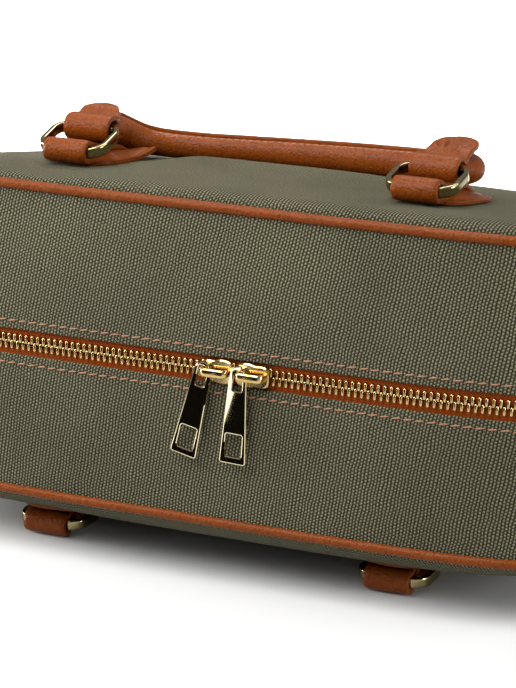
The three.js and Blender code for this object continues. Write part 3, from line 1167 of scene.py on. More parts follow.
@dataclass
class CanvasBody:
    """The two panels and the gusset strips."""

    form: BagForm
    seam: float = 0.8  # from the piping's middle to where the cloth goes into it
    zip_opening: float = 11.0
    cut: float = 1.02  # how much larger than the finished piece the cloth was cut
    columns: int = 180
    strip_columns: int = 200
    zip_strip_rows: int = 22
    base_rows: int = 40
    base_gap: float = 0.2  # between the base strip and the ends of the zip strips
    hem: float = 0.7
    panel_seed: float = 3.0
    strip_seed: float = 9.0
    settled: float = 1.0  # cloth this near to what the bag rests on lies flat
    ripple: float = 0.22
    ripple_along: float = 42.0
    ripple_across: float = 34.0
    ripple_fade: float = 8.0
    pucker: float = 0.3
    pucker_along: float = 6.0
    pucker_across: float = 9.0
    pucker_fade: float = 7.0
    pucker_start: float = 3.0
    zip_calm: float = 0.3  # the share of the unevenness that is left beside the zip
    nest: float = 2.6  # how far the cloth rises against the handle that lies on it
    nest_y: float = -60.0
    nest_ahead: float = 12.0
    nest_behind: float = 3.0
    nest_half: float = 66.0
    nest_fade: float = 24.0

    def build(self) -> None:
        """Builds all the canvas."""
        for half in Half:
            self.panel(half)
        for half in Half:
            self.zip_strip(half)
        self.base()

    def unevenness(self, u: float, w: float, edge: float, seed: float) -> float:
        """Finds how far the cloth stands out or in at a place.

        Args:
            u: Millimetres along the cloth.
            w: Millimetres across it.
            edge: Millimetres from the nearest seam.
            seed: Tells the pieces apart.

        Returns:
            Millimetres outwards.
        """
        slow = noise.noise(Vector((u / self.ripple_along, w / self.ripple_across, seed)))
        quick = noise.noise(Vector((u / self.pucker_along, w / self.pucker_across, seed + 5)))
        rippled = self.ripple * slow * smoothstep(edge, 0, self.ripple_fade)
        near_seam = math.exp(-edge / self.pucker_fade) * smoothstep(edge, 0, self.pucker_start)
        return rippled + self.pucker * quick * near_seam

    def nestle(self, x: float, y: float) -> float:
        """Finds how far the front panel rises just ahead of the handle that lies on it.

        Args:
            x: The place along the bag.
            y: The place across the floor.

        Returns:
            Millimetres upwards.
        """
        away = y - self.nest_y
        spread = self.nest_behind if away > 0 else self.nest_ahead
        ends = 1 - smoothstep(abs(x), self.nest_half - self.nest_fade, self.nest_half)
        return self.nest * ends * math.exp(-((away / spread) ** 2))

    def panel(self, half: Half) -> Object:
        """Builds one domed panel.

        Args:
            half: The panel's half of the bag.

        Returns:
            The panel.
        """
        form = self.form
        name = f"{half.label}_panel"
        long, high = form.half_length - self.seam, form.half_height - self.seam

        def flat(s: float, t: float) -> tuple[float, float, float]:
            """The place on the flat panel and its reach."""
            along, across, reach = rounded_place(s, t, form.squareness)
            return along * long, across * high, reach

        def place(s: float, t: float) -> Vector:
            """Finds a place on the stuffed bag.

            Args:
                s: The share along the grid.
                t: The share across it.

            Returns:
                The point.
            """
            u, w, reach = flat(s, t)
            point = form.face(half, u, w, reach)
            uneven = self.unevenness(u, w, (1 - reach) * high, self.panel_seed * half.value)
            if half is Half.FRONT:
                point.z += uneven
                point.z += self.nestle(point.x, point.y)
            elif point.z >= form.lift_on_tabs + self.settled:
                point.z -= uneven
            return point

        def cloth(s: float, t: float) -> tuple[float, float]:
            """The place on the cloth, with the slack over the plump edge."""
            u, w, reach = flat(s, t)
            edge = (1 - reach) * high
            return u, w - form.plump_slack * form.zip_side(w) * math.exp(-edge / form.plump_rise)

        bm = placed_grid(self.columns, round(self.columns * high / long), place, cloth)
        faced(bm, form.middle)
        piece = publish(name, bm, CANVAS, Body.BAG, [name], Softening(wall=form.canvas))
        return self.taut(piece)

    def taut(self, piece: Object) -> Object:
        """Hands back a piece as it is.

        Args:
            piece: The piece.

        Returns:
            The same piece.
        """
        return piece

    def strip(
        self,
        name: str,
        start: float,
        end: float,
        edges: Callable[[float], tuple[float, float]],
        rows: int,
    ) -> Object:
        """Builds a strip of the gusset.

        Args:
            name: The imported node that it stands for.
            start: Where it starts, along the outline from the zip's middle.
            end: Where it ends.
            edges: Its two edges at a share of a turn, from the zip line.
            rows: Faces across.

        Returns:
            The strip.
        """
        form = self.form

        def flat(s: float, t: float) -> tuple[float, float]:
            """The distance along the outline and from the zip line."""
            distance = start + (end - start) * s
            low, high = edges(form.turn_at(distance))
            return distance, low + (high - low) * t

        def place(s: float, t: float) -> Vector:
            """Finds a place on the stuffed bag.

            Args:
                s: The share along the grid.
                t: The share across it.

            Returns:
                The point.
            """
            distance, from_zip = flat(s, t)
            turn = form.turn_at(distance)
            edge = form.half_span(turn) - abs(from_zip)
            near_zip = smoothstep(abs(from_zip), self.zip_opening / 2, self.zip_opening * 2)
            calm = self.zip_calm + (1 - self.zip_calm) * near_zip
            uneven = calm * self.unevenness(distance, from_zip, edge, self.strip_seed)
            return form.gusset(turn, from_zip, -uneven)

        bm = faced(placed_grid(self.strip_columns, rows, place, flat), form.middle)
        piece = publish(name, bm, CANVAS, Body.BAG, [name], Softening(wall=form.canvas, bevel=self.hem))
        wide = max(abs(flat(s, 1)[1] - flat(s, 0)[1]) for s in (0, 0.25, 0.5))
        return self.taut(piece)

    def zip_strip(self, half: Half) -> Object:
        """Builds the strip on one side of the zip.

        Args:
            half: The strip's half of the bag.

        Returns:
            The strip.
        """
        form, sign = self.form, half.value

        def edges(turn: float) -> tuple[float, float]:
            """The strip's edges at the zip and at the seam."""
            return sign * self.zip_opening / 2, sign * (form.half_span(turn) - self.seam)

        name = f"top_gusset_{half.label}"
        return self.strip(name, -form.zip_reach, form.zip_reach, edges, self.zip_strip_rows)

    def base(self) -> Object:
        """Builds the gusset round the ends and the base."""
        form = self.form
        start = form.zip_reach + self.base_gap

        def edges(turn: float) -> tuple[float, float]:
            """The strip's edges at the two seams."""
            return self.seam - form.half_span(turn), form.half_span(turn) - self.seam

        return self.strip("base_gusset", start, form.round_length - start, edges, self.base_rows)


@dataclass
class SeamPiping:
    """The leather piping in the two seams."""

    form: BagForm
    radius: float = 2.15
    swell: float = 0.05
    swell_along: float = 9.0
    waver: float = 0.25
    waver_along: float = 60.0
    steps: int = 360
    sides: int = 14

    def build(self) -> None:
        """Builds both pipings."""
        for half in Half:
            self.welt(half)

    def welt(self, half: Half) -> Object:
        """Builds the piping of one seam.

        Args:
            half: The seam's half of the bag.

        Returns:
            The piping.
        """
        plane = self.form.plane(half)
        sections = []
        for k in range(self.steps):
            distance = self.form.round_length * k / self.steps
            u, w = self.form.rim(self.form.turn_at(distance))
            swell = 1 + self.swell * noise.noise(Vector((distance / self.swell_along, plane.dome, 0)))
            lift = self.waver * noise.noise(Vector((distance / self.waver_along, plane.dome, 4)))
            radius = self.radius * swell
            centre = plane.point(u, w) + Z_AXIS * lift
            sections.append(Section(centre, self.form.rim_normal(u, w), Z_AXIS, radius, radius))
        name = f"{half.label}_piping"
        return publish(name, swept(sections, self.sides, closed=True), LEATHER, Body.BAG, [name])


# Stitching


@dataclass(frozen=True)
class Stitching:
    """A row of sewn stitches."""

    pitch: float
    length: float
    radius: float
    slant: float
    flatness: float = 0.8

    def sew(self, places: Iterable[Matrix]) -> BMesh:
        """Lays stitches along x and proud along z.

        Args:
            places: The place of each stitch.

        Returns:
            The row.
        """
        stitch = bmesh.new()
        shape = Matrix.Diagonal((self.length / 2, self.radius, self.flatness * self.radius, 1))
        turn = Matrix.Rotation(math.radians(self.slant), 4, "Z")
        bmesh.ops.create_uvsphere(stitch, u_segments=8, v_segments=6, radius=1, matrix=turn @ shape)
        return scattered(stitch, places)


@dataclass
class ZipSewing:
    """The two rows of topstitching beside the zip."""

    form: BagForm
    from_zip: float = 9.3
    proud: float = 0.12
    ends: float = 3.0  # how far short of the zip's ends the rows stop
    stitching: Stitching = Stitching(pitch=4.9, length=4.3, radius=0.42, slant=9)

    def build(self) -> None:
        """Sews both rows."""
        reach = self.form.zip_reach - self.ends
        count = int(2 * reach / self.stitching.pitch)
        for half in Half:
            places = [
                self.form.zip_frame(-reach + 2 * reach * k / count, half.value * self.from_zip, -self.proud)
                for k in range(count + 1)
            ]
            publish(f"zip_stitches_{half.label}", self.stitching.sew(places), THREAD, Body.BAG)


# Zip


@dataclass
class ZipChain:
    """The tapes and the rows of metal teeth."""

    form: BagForm
    sliders: Sequence[float]  # the sliders' places along the zip
    tape_width: float = 8.6
    tape_depth: float = 2.3
    tape_thick: float = 1.0
    tape_inner: float = 0.2
    tape_edge: float = 0.3
    tape_columns: int = 260
    tape_rows: int = 4
    tooth_pitch: float = 2.8
    tooth_long: float = 1.4
    tooth_inner: float = -0.6
    tooth_outer: float = 3.5
    tooth_thick: float = 2.0
    tooth_proud: float = 0.1
    tooth_edge: float = 0.42
    top_long: float = 0.8  # a tooth's top face against its foot
    top_wide: float = 0.9
    ends: float = 2.0  # how far short of the tape's ends the teeth stop
    aside: float = 1.0
    near: float = 5.5
    far: float = 10.0

    def build(self) -> None:
        """Builds both sides of the zip."""
        for half in Half:
            self.tape(half)
            self.teeth(half)

    def parting(self, distance: float) -> float:
        """How far a row moves aside where a slider stands between the rows."""
        nearest = min(abs(distance - x) for x in self.sliders)
        return self.aside * (1 - smoothstep(nearest, self.near, self.far))

    def tape(self, half: Half) -> Object:
        """Builds the tape of one side.

        Args:
            half: The tape's half of the bag.

        Returns:
            The tape.
        """
        reach = self.form.zip_reach

        def flat(s: float, t: float) -> tuple[float, float]:
            """The distance along the outline and from the zip line."""
            distance = -reach + 2 * reach * s
            inner = self.tape_inner + self.parting(distance)
            return distance, half.value * (inner + (self.tape_width - inner) * t)

        def place(s: float, t: float) -> Vector:
            """The place under the gusset."""
            distance, from_zip = flat(s, t)
            return self.form.gusset(self.form.turn_at(distance), from_zip, self.tape_depth)

        name = f"zip_tape_{half.label}"
        bm = faced(placed_grid(self.tape_columns, self.tape_rows, place, flat), self.form.middle)
        edges = Softening(wall=self.tape_thick, bevel=self.tape_edge)
        return publish(name, bm, TWILL, Body.BAG, [name], edges)

    def teeth(self, half: Half) -> Object:
        """Builds the row of teeth of one side.

        Args:
            half: The row's half of the bag.

        Returns:
            The row.
        """
        tooth = bmesh.new()
        size = (self.tooth_long, self.tooth_outer - self.tooth_inner, self.tooth_thick)
        bmesh.ops.create_cube(tooth, size=1, matrix=Matrix.Diagonal((*size, 1)))
        top = [vert for vert in tooth.verts if vert.co.z > 0]
        bmesh.ops.scale(tooth, vec=Vector((self.top_long, self.top_wide, 1)), verts=top)
        bmesh.ops.bevel(
            tooth,
            geom=tooth.edges[:],
            offset=self.tooth_edge,
            segments=2,
            profile=0.5,
            affect="EDGES",
            material=-1,
        )
        reach = self.form.zip_reach - self.ends
        start = -reach + (0.5 * self.tooth_pitch if half is Half.FRONT else 0)
        middle = (self.tooth_inner + self.tooth_outer) / 2
        depth = self.tooth_thick / 2 - self.tooth_proud
        places = []
        for k in range(int(2 * reach / self.tooth_pitch)):
            distance = start + k * self.tooth_pitch
            from_zip = half.value * (middle + self.parting(distance))
            places.append(self.form.zip_frame(distance, from_zip, depth))
        name = f"zip_teeth_{half.label}"
        return publish(name, scattered(tooth, places), TOOTH, Body.BAG, [name])


@dataclass
class ZipSlider:
    """A slider on the zip, with the pull that hangs from its crown."""

    form: BagForm
    side: Side
    x: float  # its place along the zip, from the middle
    lean: float  # how far its pull hangs aslant, in degrees
    body: Body
    long: float = 15.2
    wide: float = 10.5
    squareness: float = 3.6
    waist: float = 0.13  # how far a plate draws in, as a share of its width
    waist_place: float = 0.15
    waist_half: float = 0.22
    nose: float = 0.08
    nose_start: float = 0.1
    nose_end: float = 0.4
    plate: float = 1.5
    plate_edge: float = 0.5
    rim_angle: float = 1.0  # the least turn that counts as a plate's rim, in radians
    gap: float = 0.35
    back: float = -3.65
    post: float = 2.6
    crown: float = 1.0
    crown_corner: float = 1.6
    crown_foot: float = 1.3
    crown_swell: float = 0.5
    crown_sunk: float = 0.4
    crown_squareness: float = 3.0
    crown_sides: int = 16
    leg: float = 5.3
    clear: float = 2.7
    sharp: float = 35.0
    pull_thick: float = 1.8
    pull_below: float = 37.8
    pull_top: float = 8.0
    pull_bottom: float = 12.2
    pull_corner: float = 0.8
    pull_edge: float = 0.5
    pull_sharp: float = 15.0
    slot_size: tuple[float, float] = (4.3, 8.8)
    slot_middle: float = -2.2
    window_size: tuple[float, float] = (7.4, 9.6)
    window_middle: float = 7.9  # above the pull's lower end
    hole_corner: float = 0.7

    def build(self) -> None:
        """Builds the slider and its pull."""
        seat = self.form.zip_frame(self.x)
        slider = bmesh.new()
        for shape in (self.shield(self.gap), self.shield(self.back - self.plate), self.bridge(), self.stem()):
            part = bpy.data.meshes.new("part")
            shape.to_mesh(part)
            shape.free()
            slider.from_mesh(part)
            bpy.data.meshes.remove(part)
        node = f"zip_slider_{self.side.label}"
        piece = publish(node, moved(slider, seat), SATIN, Body.BAG, [node])
        piece.data.set_sharp_from_angle(angle=math.radians(self.sharp))
        self.pull(seat)

    def shield(self, low: float) -> BMesh:
        """Shapes a plate of the slider: square at its mouth, narrowed to a nose, with rounded edges.

        Args:
            low: The height of its lower face.

        Returns:
            The plate.
        """
        bm = bmesh.new()
        bmesh.ops.create_circle(bm, cap_ends=True, segments=48, radius=1)
        for vert in bm.verts:
            square = rounded_reach(vert.co.x, vert.co.y, self.squareness)
            along, across = vert.co.x / square, vert.co.y / square
            outward = self.side.value * along
            drawn = self.waist * math.exp(-(((outward - self.waist_place) / self.waist_half) ** 2))
            drawn += self.nose * smoothstep(outward, self.nose_start, self.nose_end)
            vert.co = Vector((along * self.long / 2, across * self.wide / 2 * (1 - drawn), low))
        top = bmesh.ops.extrude_face_region(bm, geom=bm.faces[:])
        raised = [item for item in top["geom"] if isinstance(item, bmesh.types.BMVert)]
        bmesh.ops.translate(bm, vec=Z_AXIS * self.plate, verts=raised)
        bmesh.ops.recalc_face_normals(bm, faces=bm.faces[:])
        rims = [edge for edge in bm.edges if edge.calc_face_angle(0) > self.rim_angle]
        bmesh.ops.bevel(
            bm, geom=rims, offset=self.plate_edge, segments=1, profile=0.5, affect="EDGES", material=-1
        )
        return bm

    def stem(self) -> BMesh:
        """Shapes the post between the plates."""
        bm = bmesh.new()
        high = self.gap - self.back + self.plate
        centre = Matrix.Translation((0, 0, (self.gap + self.back) / 2))
        bmesh.ops.create_cube(bm, size=1, matrix=centre @ Matrix.Diagonal((self.post, self.post, high, 1)))
        return bm

    def bridge(self) -> BMesh:
        """Shapes the crown: an arch along the slider, flattened on top."""
        foot = self.gap + self.plate - self.crown_sunk
        top = self.gap + self.plate + self.clear + self.crown
        corner, steps = self.crown_corner, 6
        route = [Vector((-self.leg, 0, foot)), Vector((-self.leg, 0, top - corner))]
        for side in Side:
            centre = Vector((side.value * (self.leg - corner), 0, top - corner))
            start = 0 if side is Side.LEFT else math.pi / 2
            for k in range(steps + 1):
                angle = start + math.pi / 2 * k / steps
                route.append(centre + Vector((-math.cos(angle), 0, math.sin(angle))) * corner)
        route += [Vector((self.leg, 0, top - corner)), Vector((self.leg, 0, foot))]
        sections = []
        for here, ahead in zip(route, headings(route)):
            wide = self.crown_foot + self.crown_swell * smoothstep(here.z, foot, top)
            out = ahead.cross(Y_AXIS)
            sections.append(Section(here, Y_AXIS, out, wide, self.crown, self.crown_squareness))
        return swept(sections, self.crown_sides)

    def pull_outline(self) -> list[Vector]:
        """Goes round the pull: an arch at its top and a straight lower end with cut corners."""
        half_top, half_bottom = self.pull_top / 2, self.pull_bottom / 2
        corner, low, steps = self.pull_corner, -self.pull_below, 16
        angles = [math.pi * k / steps for k in range(steps + 1)]
        arch = [Vector((half_top * math.cos(angle), half_top * math.sin(angle), 0)) for angle in angles]
        foot = [
            Vector((-half_bottom, low + corner, 0)),
            Vector((-half_bottom + corner, low, 0)),
            Vector((half_bottom - corner, low, 0)),
            Vector((half_bottom, low + corner, 0)),
        ]
        return arch + foot

    def hole(self, size: tuple[float, float], middle: float) -> list[Vector]:
        """Goes round a slot or window of the pull.

        Args:
            size: Its width and height.
            middle: Its middle along the pull.

        Returns:
            The points of its outline.
        """
        loop = rounded_loop(size[0] / 2, size[1] / 2, self.hole_corner, 3)
        return [point + Y_AXIS * middle for point, _ in loop]

    def pull(self, seat: Matrix) -> Object:
        """Builds the pull: a tapered plate with a slot for the crown, a window and polished bevels.

        Args:
            seat: The slider's place.

        Returns:
            The pull.
        """
        outline = bpy.data.curves.new("pull", "CURVE")
        outline.dimensions = "2D"
        outline.fill_mode = "BOTH"
        outline.extrude = (self.pull_thick / 2 - self.pull_edge) * MM
        outline.bevel_depth = self.pull_edge * MM
        outline.bevel_resolution = 1
        outline.offset = -self.pull_edge * MM
        slot = self.hole(self.slot_size, self.slot_middle)
        window = self.hole(self.window_size, self.window_middle - self.pull_below)
        for loop in (self.pull_outline(), slot, window):
            spline = outline.splines.new("POLY")
            spline.points.add(len(loop) - 1)
            for point, spot in zip(spline.points, loop):
                point.co = (*(spot * MM), 1)
            spline.use_cyclic_u = True
        drawn = bpy.data.objects.new("pull", outline)
        bpy.context.scene.collection.objects.link(drawn)
        bpy.context.view_layer.update()
        mesh = bpy.data.meshes.new_from_object(drawn)
        bm = bmesh.new()
        bm.from_mesh(mesh)
        bpy.data.objects.remove(drawn)
        bpy.data.curves.remove(outline)
        bpy.data.meshes.remove(mesh)
        bmesh.ops.remove_doubles(bm, verts=bm.verts[:], dist=MERGE * MM)
        bmesh.ops.recalc_face_normals(bm, faces=bm.faces[:])
        bmesh.ops.scale(bm, vec=Vector((1 / MM,) * 3), verts=bm.verts[:])
        lift = 2 * self.gap + self.plate + self.pull_thick / 2
        turn = Matrix.Rotation(-math.radians(self.lean), 4, "Z")
        moved(bm, seat @ Matrix.Translation((-self.leg, 0, lift)) @ turn)
        node = f"zip_pull_{self.side.label}"
        piece = publish(node, bm, GOLD, self.body, [node])
        piece.data.set_sharp_from_angle(angle=math.radians(self.pull_sharp))
        return piece


def zip_sliders(form: BagForm) -> list[ZipSlider]:
    """Lists the two sliders, which meet near the zip's middle.

    Args:
        form: The bag that carries them.

    Returns:
        The left slider and the right one.
    """
    return [
        ZipSlider(form, Side.LEFT, x=14.0, lean=12.2, body=Body.LEFT_PULL),
        ZipSlider(form, Side.RIGHT, x=30.2, lean=2.0, body=Body.RIGHT_PULL),
    ]


# Tabs, rings and handles


@dataclass(frozen=True)
class GripRow:
    """A section of a handle: x from the middle, y from the hinge axis, out from the panel, and half sizes."""

    x: float
    y: float
    out: float
    wide: float
    thick: float


@dataclass(frozen=True)
class Tongue:
    """The end of a strap, sewn down over the handle: its reach from the ring, its rise and its wrinkles."""

    reach: float
    rise: float
    narrowing: float = 0.1
    wrinkle: float = 0.4
    lean: float = 0.0


@dataclass
class HandleSet:
    """A handle with its two rings, on two tabs sewn to a panel.

    Places are from the hinge axis: y towards the base and z away from the panel.
    """

    form: BagForm
    half: Half
    body: Body
    y: float  # the hinge axis's own place in the model
    z: float
    seat: float  # from the hinge axis to the panel
    patch_tilt: float
    ring_tilts: dict[Side, float]  # how far each ring stands up from the panel, in degrees
    rows: list[GripRow]
    tongues: dict[Side, Tongue]
    spacing: float = 81.5
    shift: float = 1.3
    # Tabs: a loop round the ring's near bar, and a patch on the panel
    leaf: float = 1.4  # half the thickness of a tab's loop and of a strap
    leaf_squareness: float = 7.0
    loop_radius: float = 3.9
    loop_start: float = 75.0
    loop_sweep: float = 210.0
    tab_wide: float = 20.5
    tab_sides: int = 28
    # y, rise and half width along the loop's end over the patch, then y and rise along its end under it
    tab_leaf: tuple[tuple[float, float, float], ...] = ((17.0, 0.0, 10.25), (12.0, 0.2, 10.25))
    tab_under: tuple[tuple[float, float], ...] = ((9.0, -0.6), (17.0, 0.0))
    patch_gap: float = 0.35
    patch_wide: float = 36.0
    patch_start: float = 3.0
    patch_end: float = 53.0
    patch_thick: float = 1.8
    patch_edge: float = 0.6
    patch_squareness: float = 3.0
    patch_faces: int = 60
    patch_swell: float = 0.0
    swell_inside: float = 0.7
    swell_loss: float = 0.65  # the share of the swell that is lost towards the patch's far end
    swell_far: tuple[float, float] = (26.0, 46.0)
    crease: float = 0.45
    crease_inside: float = 2.6
    crease_half: float = 0.8
    lip: float = 0.5
    lip_fade: float = 2.0
    lip_along: float = 9.0
    ear_lift: float = 0.0
    ear_back: float = 0.5  # how far the ear leans towards the base, as a share of its lift
    ear_along: tuple[float, float] = (0.65, 0.975)  # the shares of the patch between which its ear lifts
    ear_across: tuple[float, float] = (0.5, 0.9)
    # Rings of flattened wire
    ring_half_wide: float = 15.0
    ring_half_long: float = 11.0
    ring_corner: float = 6.8
    wire_in: float = 1.3
    wire_out: float = 2.35
    wire_squareness: float = 5.0
    wire_sides: int = 36
    # The grip, its seam fin and its stitches
    grip_steps: int = 180
    grip_sides: int = 32
    grip_squareness: float = 2.2
    welt_wide: float = 0.8
    welt_high: float = 1.5
    welt_angle: float = 84.0
    welt_start: float = 0.12
    welt_share: float = 0.76
    welt_steps: int = 120
    welt_sides: int = 10
    welt_squareness: float = 3.0
    stitching: Stitching = Stitching(pitch=3.5, length=2.6, radius=0.34, slant=10)
    stitch_angle: float = 65.0
    stitch_start: float = 0.13
    stitch_share: float = 0.74
    stitch_steps: int = 900
    # End straps: out of the grip, round the ring and back in a tongue
    strap_radius: float = 3.9
    strap_wide: float = 21.6
    strap_sides: int = 96
    # y and rise along the strap's end inside the grip
    strap_under: tuple[tuple[float, float], ...] = ((14.0, 0.6), (7.0, 0.2))
    tongue_steps: int = 40
    tongue_start: float = 3.0
    tongue_settled: float = 12.0
    tongue_risen: float = 0.8  # the share of its reach at which a tongue is fully risen
    tongue_dip: float = 2.8
    dip_place: float = 6.5
    dip_half: float = 2.2
    tip: float = 0.003  # the least square of a width's share, so that the tip stays closed
    wrinkle_rays: float = 8.0
    wrinkle_along: float = 14.0
    wrinkle_start: tuple[float, float] = (4.0, 9.0)
    wrinkle_sides: tuple[float, float] = (1.5, 5.0)
    wrinkle_end: tuple[float, float] = (2.0, 7.0)

    def build(self) -> None:
        """Builds the tabs, the rings and the handle."""
        for side in Side:
            self.tab(side)
            self.ring(side)
        self.handle()

    @property
    def hinge(self) -> Matrix:
        """The frame of the hinge axis."""
        turn = Matrix.Identity(4) if self.half is Half.FRONT else Matrix.Rotation(math.pi, 4, "Y")
        return Matrix.Translation((self.shift, self.y, self.z)) @ turn

    def seat_of(self, side: Side, tilt: float) -> Matrix:
        """The frame of a tab or ring, tilted about the hinge axis by some degrees."""
        shift = Matrix.Translation((side.value * self.half.value * self.spacing, 0, 0))
        return self.hinge @ shift @ Matrix.Rotation(math.radians(tilt), 4, "X")

    def ribbon(self, route: Sequence[Vector], widths: Sequence[float], sides: int) -> BMesh:
        """Sweeps a flat strap along a route in the y-z plane.

        Args:
            route: The points of its middle.
            widths: Its half width at each point.
            sides: Faces round its outline.

        Returns:
            The strap.
        """
        sections = [
            Section(here, X_AXIS, X_AXIS.cross(ahead), wide, self.leaf, self.leaf_squareness)
            for here, ahead, wide in zip(route, headings(route), widths)
        ]
        return swept(sections, sides)

    def tab(self, side: Side) -> Object:
        """Builds a tab: a patch on the panel and the loop that holds the ring.

        Args:
            side: The tab's side of the bag.

        Returns:
            The loop.
        """
        low = self.patch_gap - self.seat
        high = low + self.patch_thick
        route = [Vector((0, y, high - self.leaf + rise)) for y, rise, _ in self.tab_leaf]
        widths = [half for _, _, half in self.tab_leaf]
        route += arc(Vector(), self.loop_radius, self.loop_start, self.loop_sweep)
        route += [Vector((0, y, low + self.leaf + rise)) for y, rise in self.tab_under]
        widths += [self.tab_wide / 2] * (len(route) - len(widths))
        loop = moved(self.ribbon(route, widths, self.tab_sides), self.seat_of(side, self.patch_tilt))
        node = f"{self.half.label}_tab_{side.label}"
        edges = Softening(wall=self.patch_thick, bevel=self.patch_edge)
        publish(f"{node}_patch", self.patch(side), LEATHER, Body.BAG, (), edges)
        return publish(node, loop, LEATHER, Body.BAG, [node])

    def patch(self, side: Side) -> BMesh:
        """Shapes the patch of a tab: a leather oblong that follows the panel, with a crease along its edge.

        Args:
            side: The tab's side of the bag.

        Returns:
            The patch's outer face.
        """
        half_wide, half_long = self.patch_wide / 2, (self.patch_end - self.patch_start) / 2
        middle_x = self.shift + side.value * self.spacing
        middle_y = self.y + (self.patch_start + self.patch_end) / 2

        def place(s: float, t: float) -> Vector:
            """Finds a place above the panel.

            Args:
                s: The share along the grid.
                t: The share across it.

            Returns:
                The point.
            """
            along, across, reach = rounded_place(s, t, self.patch_squareness)
            x, y = middle_x + along * half_wide, middle_y + across * half_long
            inside = (1 - reach) * half_wide
            crease = -self.crease * math.exp(-(((inside - self.crease_inside) / self.crease_half) ** 2))
            uneven = noise.noise(Vector((x / self.lip_along, y / self.lip_along, 1.0)))
            lip = self.lip * math.exp(-inside / self.lip_fade) * uneven
            swell = self.patch_swell * smoothstep(inside, 0, self.swell_inside * half_wide)
            swell *= 1 - self.swell_loss * smoothstep(y - self.y, *self.swell_far)
            ear = 0.0
            if side is Side.LEFT:
                ear = self.ear_lift * smoothstep(s, *self.ear_along) * smoothstep(t, *self.ear_across)
            lift = self.patch_gap + self.patch_thick + swell + crease + lip + ear
            height = self.form.face_height(self.half, x, y)
            return Vector((x + ear, y + self.ear_back * ear, height + self.half.value * lift))

        return faced(placed_grid(self.patch_faces, self.patch_faces, place), self.form.middle)

    def ring(self, side: Side) -> Object:
        """Builds a ring of flattened wire whose near bar lies on the hinge axis.

        Args:
            side: The ring's side of the bag.

        Returns:
            The ring.
        """
        centre = Y_AXIS * self.ring_half_long
        sections = [
            Section(centre + point, outward, Z_AXIS, self.wire_in, self.wire_out, self.wire_squareness)
            for point, outward in rounded_loop(self.ring_half_wide, self.ring_half_long, self.ring_corner, 12)
        ]
        bm = moved(swept(sections, self.wire_sides, closed=True), self.seat_of(side, self.ring_tilts[side]))
        node = f"{self.half.label}_ring_{side.label}"
        return publish(node, bm, BRASS, self.body, [node])

    @cached_property
    def spine(self) -> list[Vector]:
        """The handle's sections from end to end, as rows of numbers."""
        return [Vector((row.x, row.y, row.out, row.wide, row.thick)) for row in self.rows]

    def grip_section(self, share: float) -> Section:
        """Finds a section of the handle.

        Args:
            share: Its share of the handle's length.

        Returns:
            The section.
        """
        step = 0.004
        row = blended(self.spine, share)
        ahead = blended(self.spine, min(1.0, share + step)) - blended(self.spine, max(0.0, share - step))
        across = Vector((ahead[1], -ahead[0], 0)).normalized()
        centre = Vector((row[0], row[1], row[2]))
        return Section(centre, across, Z_AXIS, row[3], row[4], self.grip_squareness)

    def grip_point(self, share: float, angle: float) -> tuple[Vector, Vector]:
        """Finds a point on the grip's face.

        Args:
            share: Its share of the handle's length.
            angle: Its angle up from the side nearer the zip, in degrees.

        Returns:
            The point, and the way out of the face.
        """
        section = self.grip_section(share)
        toward = -section.across if section.across.y > 0 else section.across
        across, up = math.cos(math.radians(angle)), math.sin(math.radians(angle))
        out = (toward * across + section.out * up).normalized()
        return section.centre + toward * (section.wide * across) + section.out * (section.thick * up), out

    def handle(self) -> Object:
        """Builds the rolled grip, the straps round the rings and the stitching."""
        sections = [self.grip_section(k / self.grip_steps) for k in range(self.grip_steps + 1)]
        node = f"{self.half.label}_handle"
        grip = moved(swept(sections, self.grip_sides), self.hinge)
        piece = publish(node, grip, LEATHER, self.body, [node])
        for side in Side:
            strap = moved(self.strap(side), self.seat_of(side, 0))
            publish(f"{node}_strap_{side.label}", strap, LEATHER, self.body)
        publish(f"{node}_welt", self.welt(), LEATHER, self.body)
        publish(f"{node}_stitches", self.sewing(), THREAD, self.body)
        return piece

    def welt(self) -> BMesh:
        """Shapes the fin where the grip's two leather edges meet."""
        step = 0.002
        sections = []
        for k in range(self.welt_steps + 1):
            share = self.welt_start + self.welt_share * k / self.welt_steps
            spot, out = self.grip_point(share, self.welt_angle)
            ahead = (self.grip_point(share + step, self.welt_angle)[0] - spot).normalized()
            across = ahead.cross(out).normalized()
            sections.append(
                Section(spot, across, out, self.welt_wide, self.welt_high, self.welt_squareness)
            )
        return moved(swept(sections, self.welt_sides), self.hinge)

    def sewing(self) -> BMesh:
        """Sews the row of stitches along the grip."""
        pitch = self.stitching.pitch
        last, out = self.grip_point(self.stitch_start, self.stitch_angle)
        places = [self.hinge @ basis(-X_AXIS, out.cross(-X_AXIS), out, last)]
        travelled = 0.0
        for k in range(1, self.stitch_steps + 1):
            share = self.stitch_start + self.stitch_share * k / self.stitch_steps
            spot, out = self.grip_point(share, self.stitch_angle)
            step = spot - last
            last = spot
            travelled += step.length
            if travelled >= pitch:
                travelled -= pitch
                step.normalize()
                places.append(self.hinge @ basis(step, out.cross(step), out, spot))
        return self.stitching.sew(places)

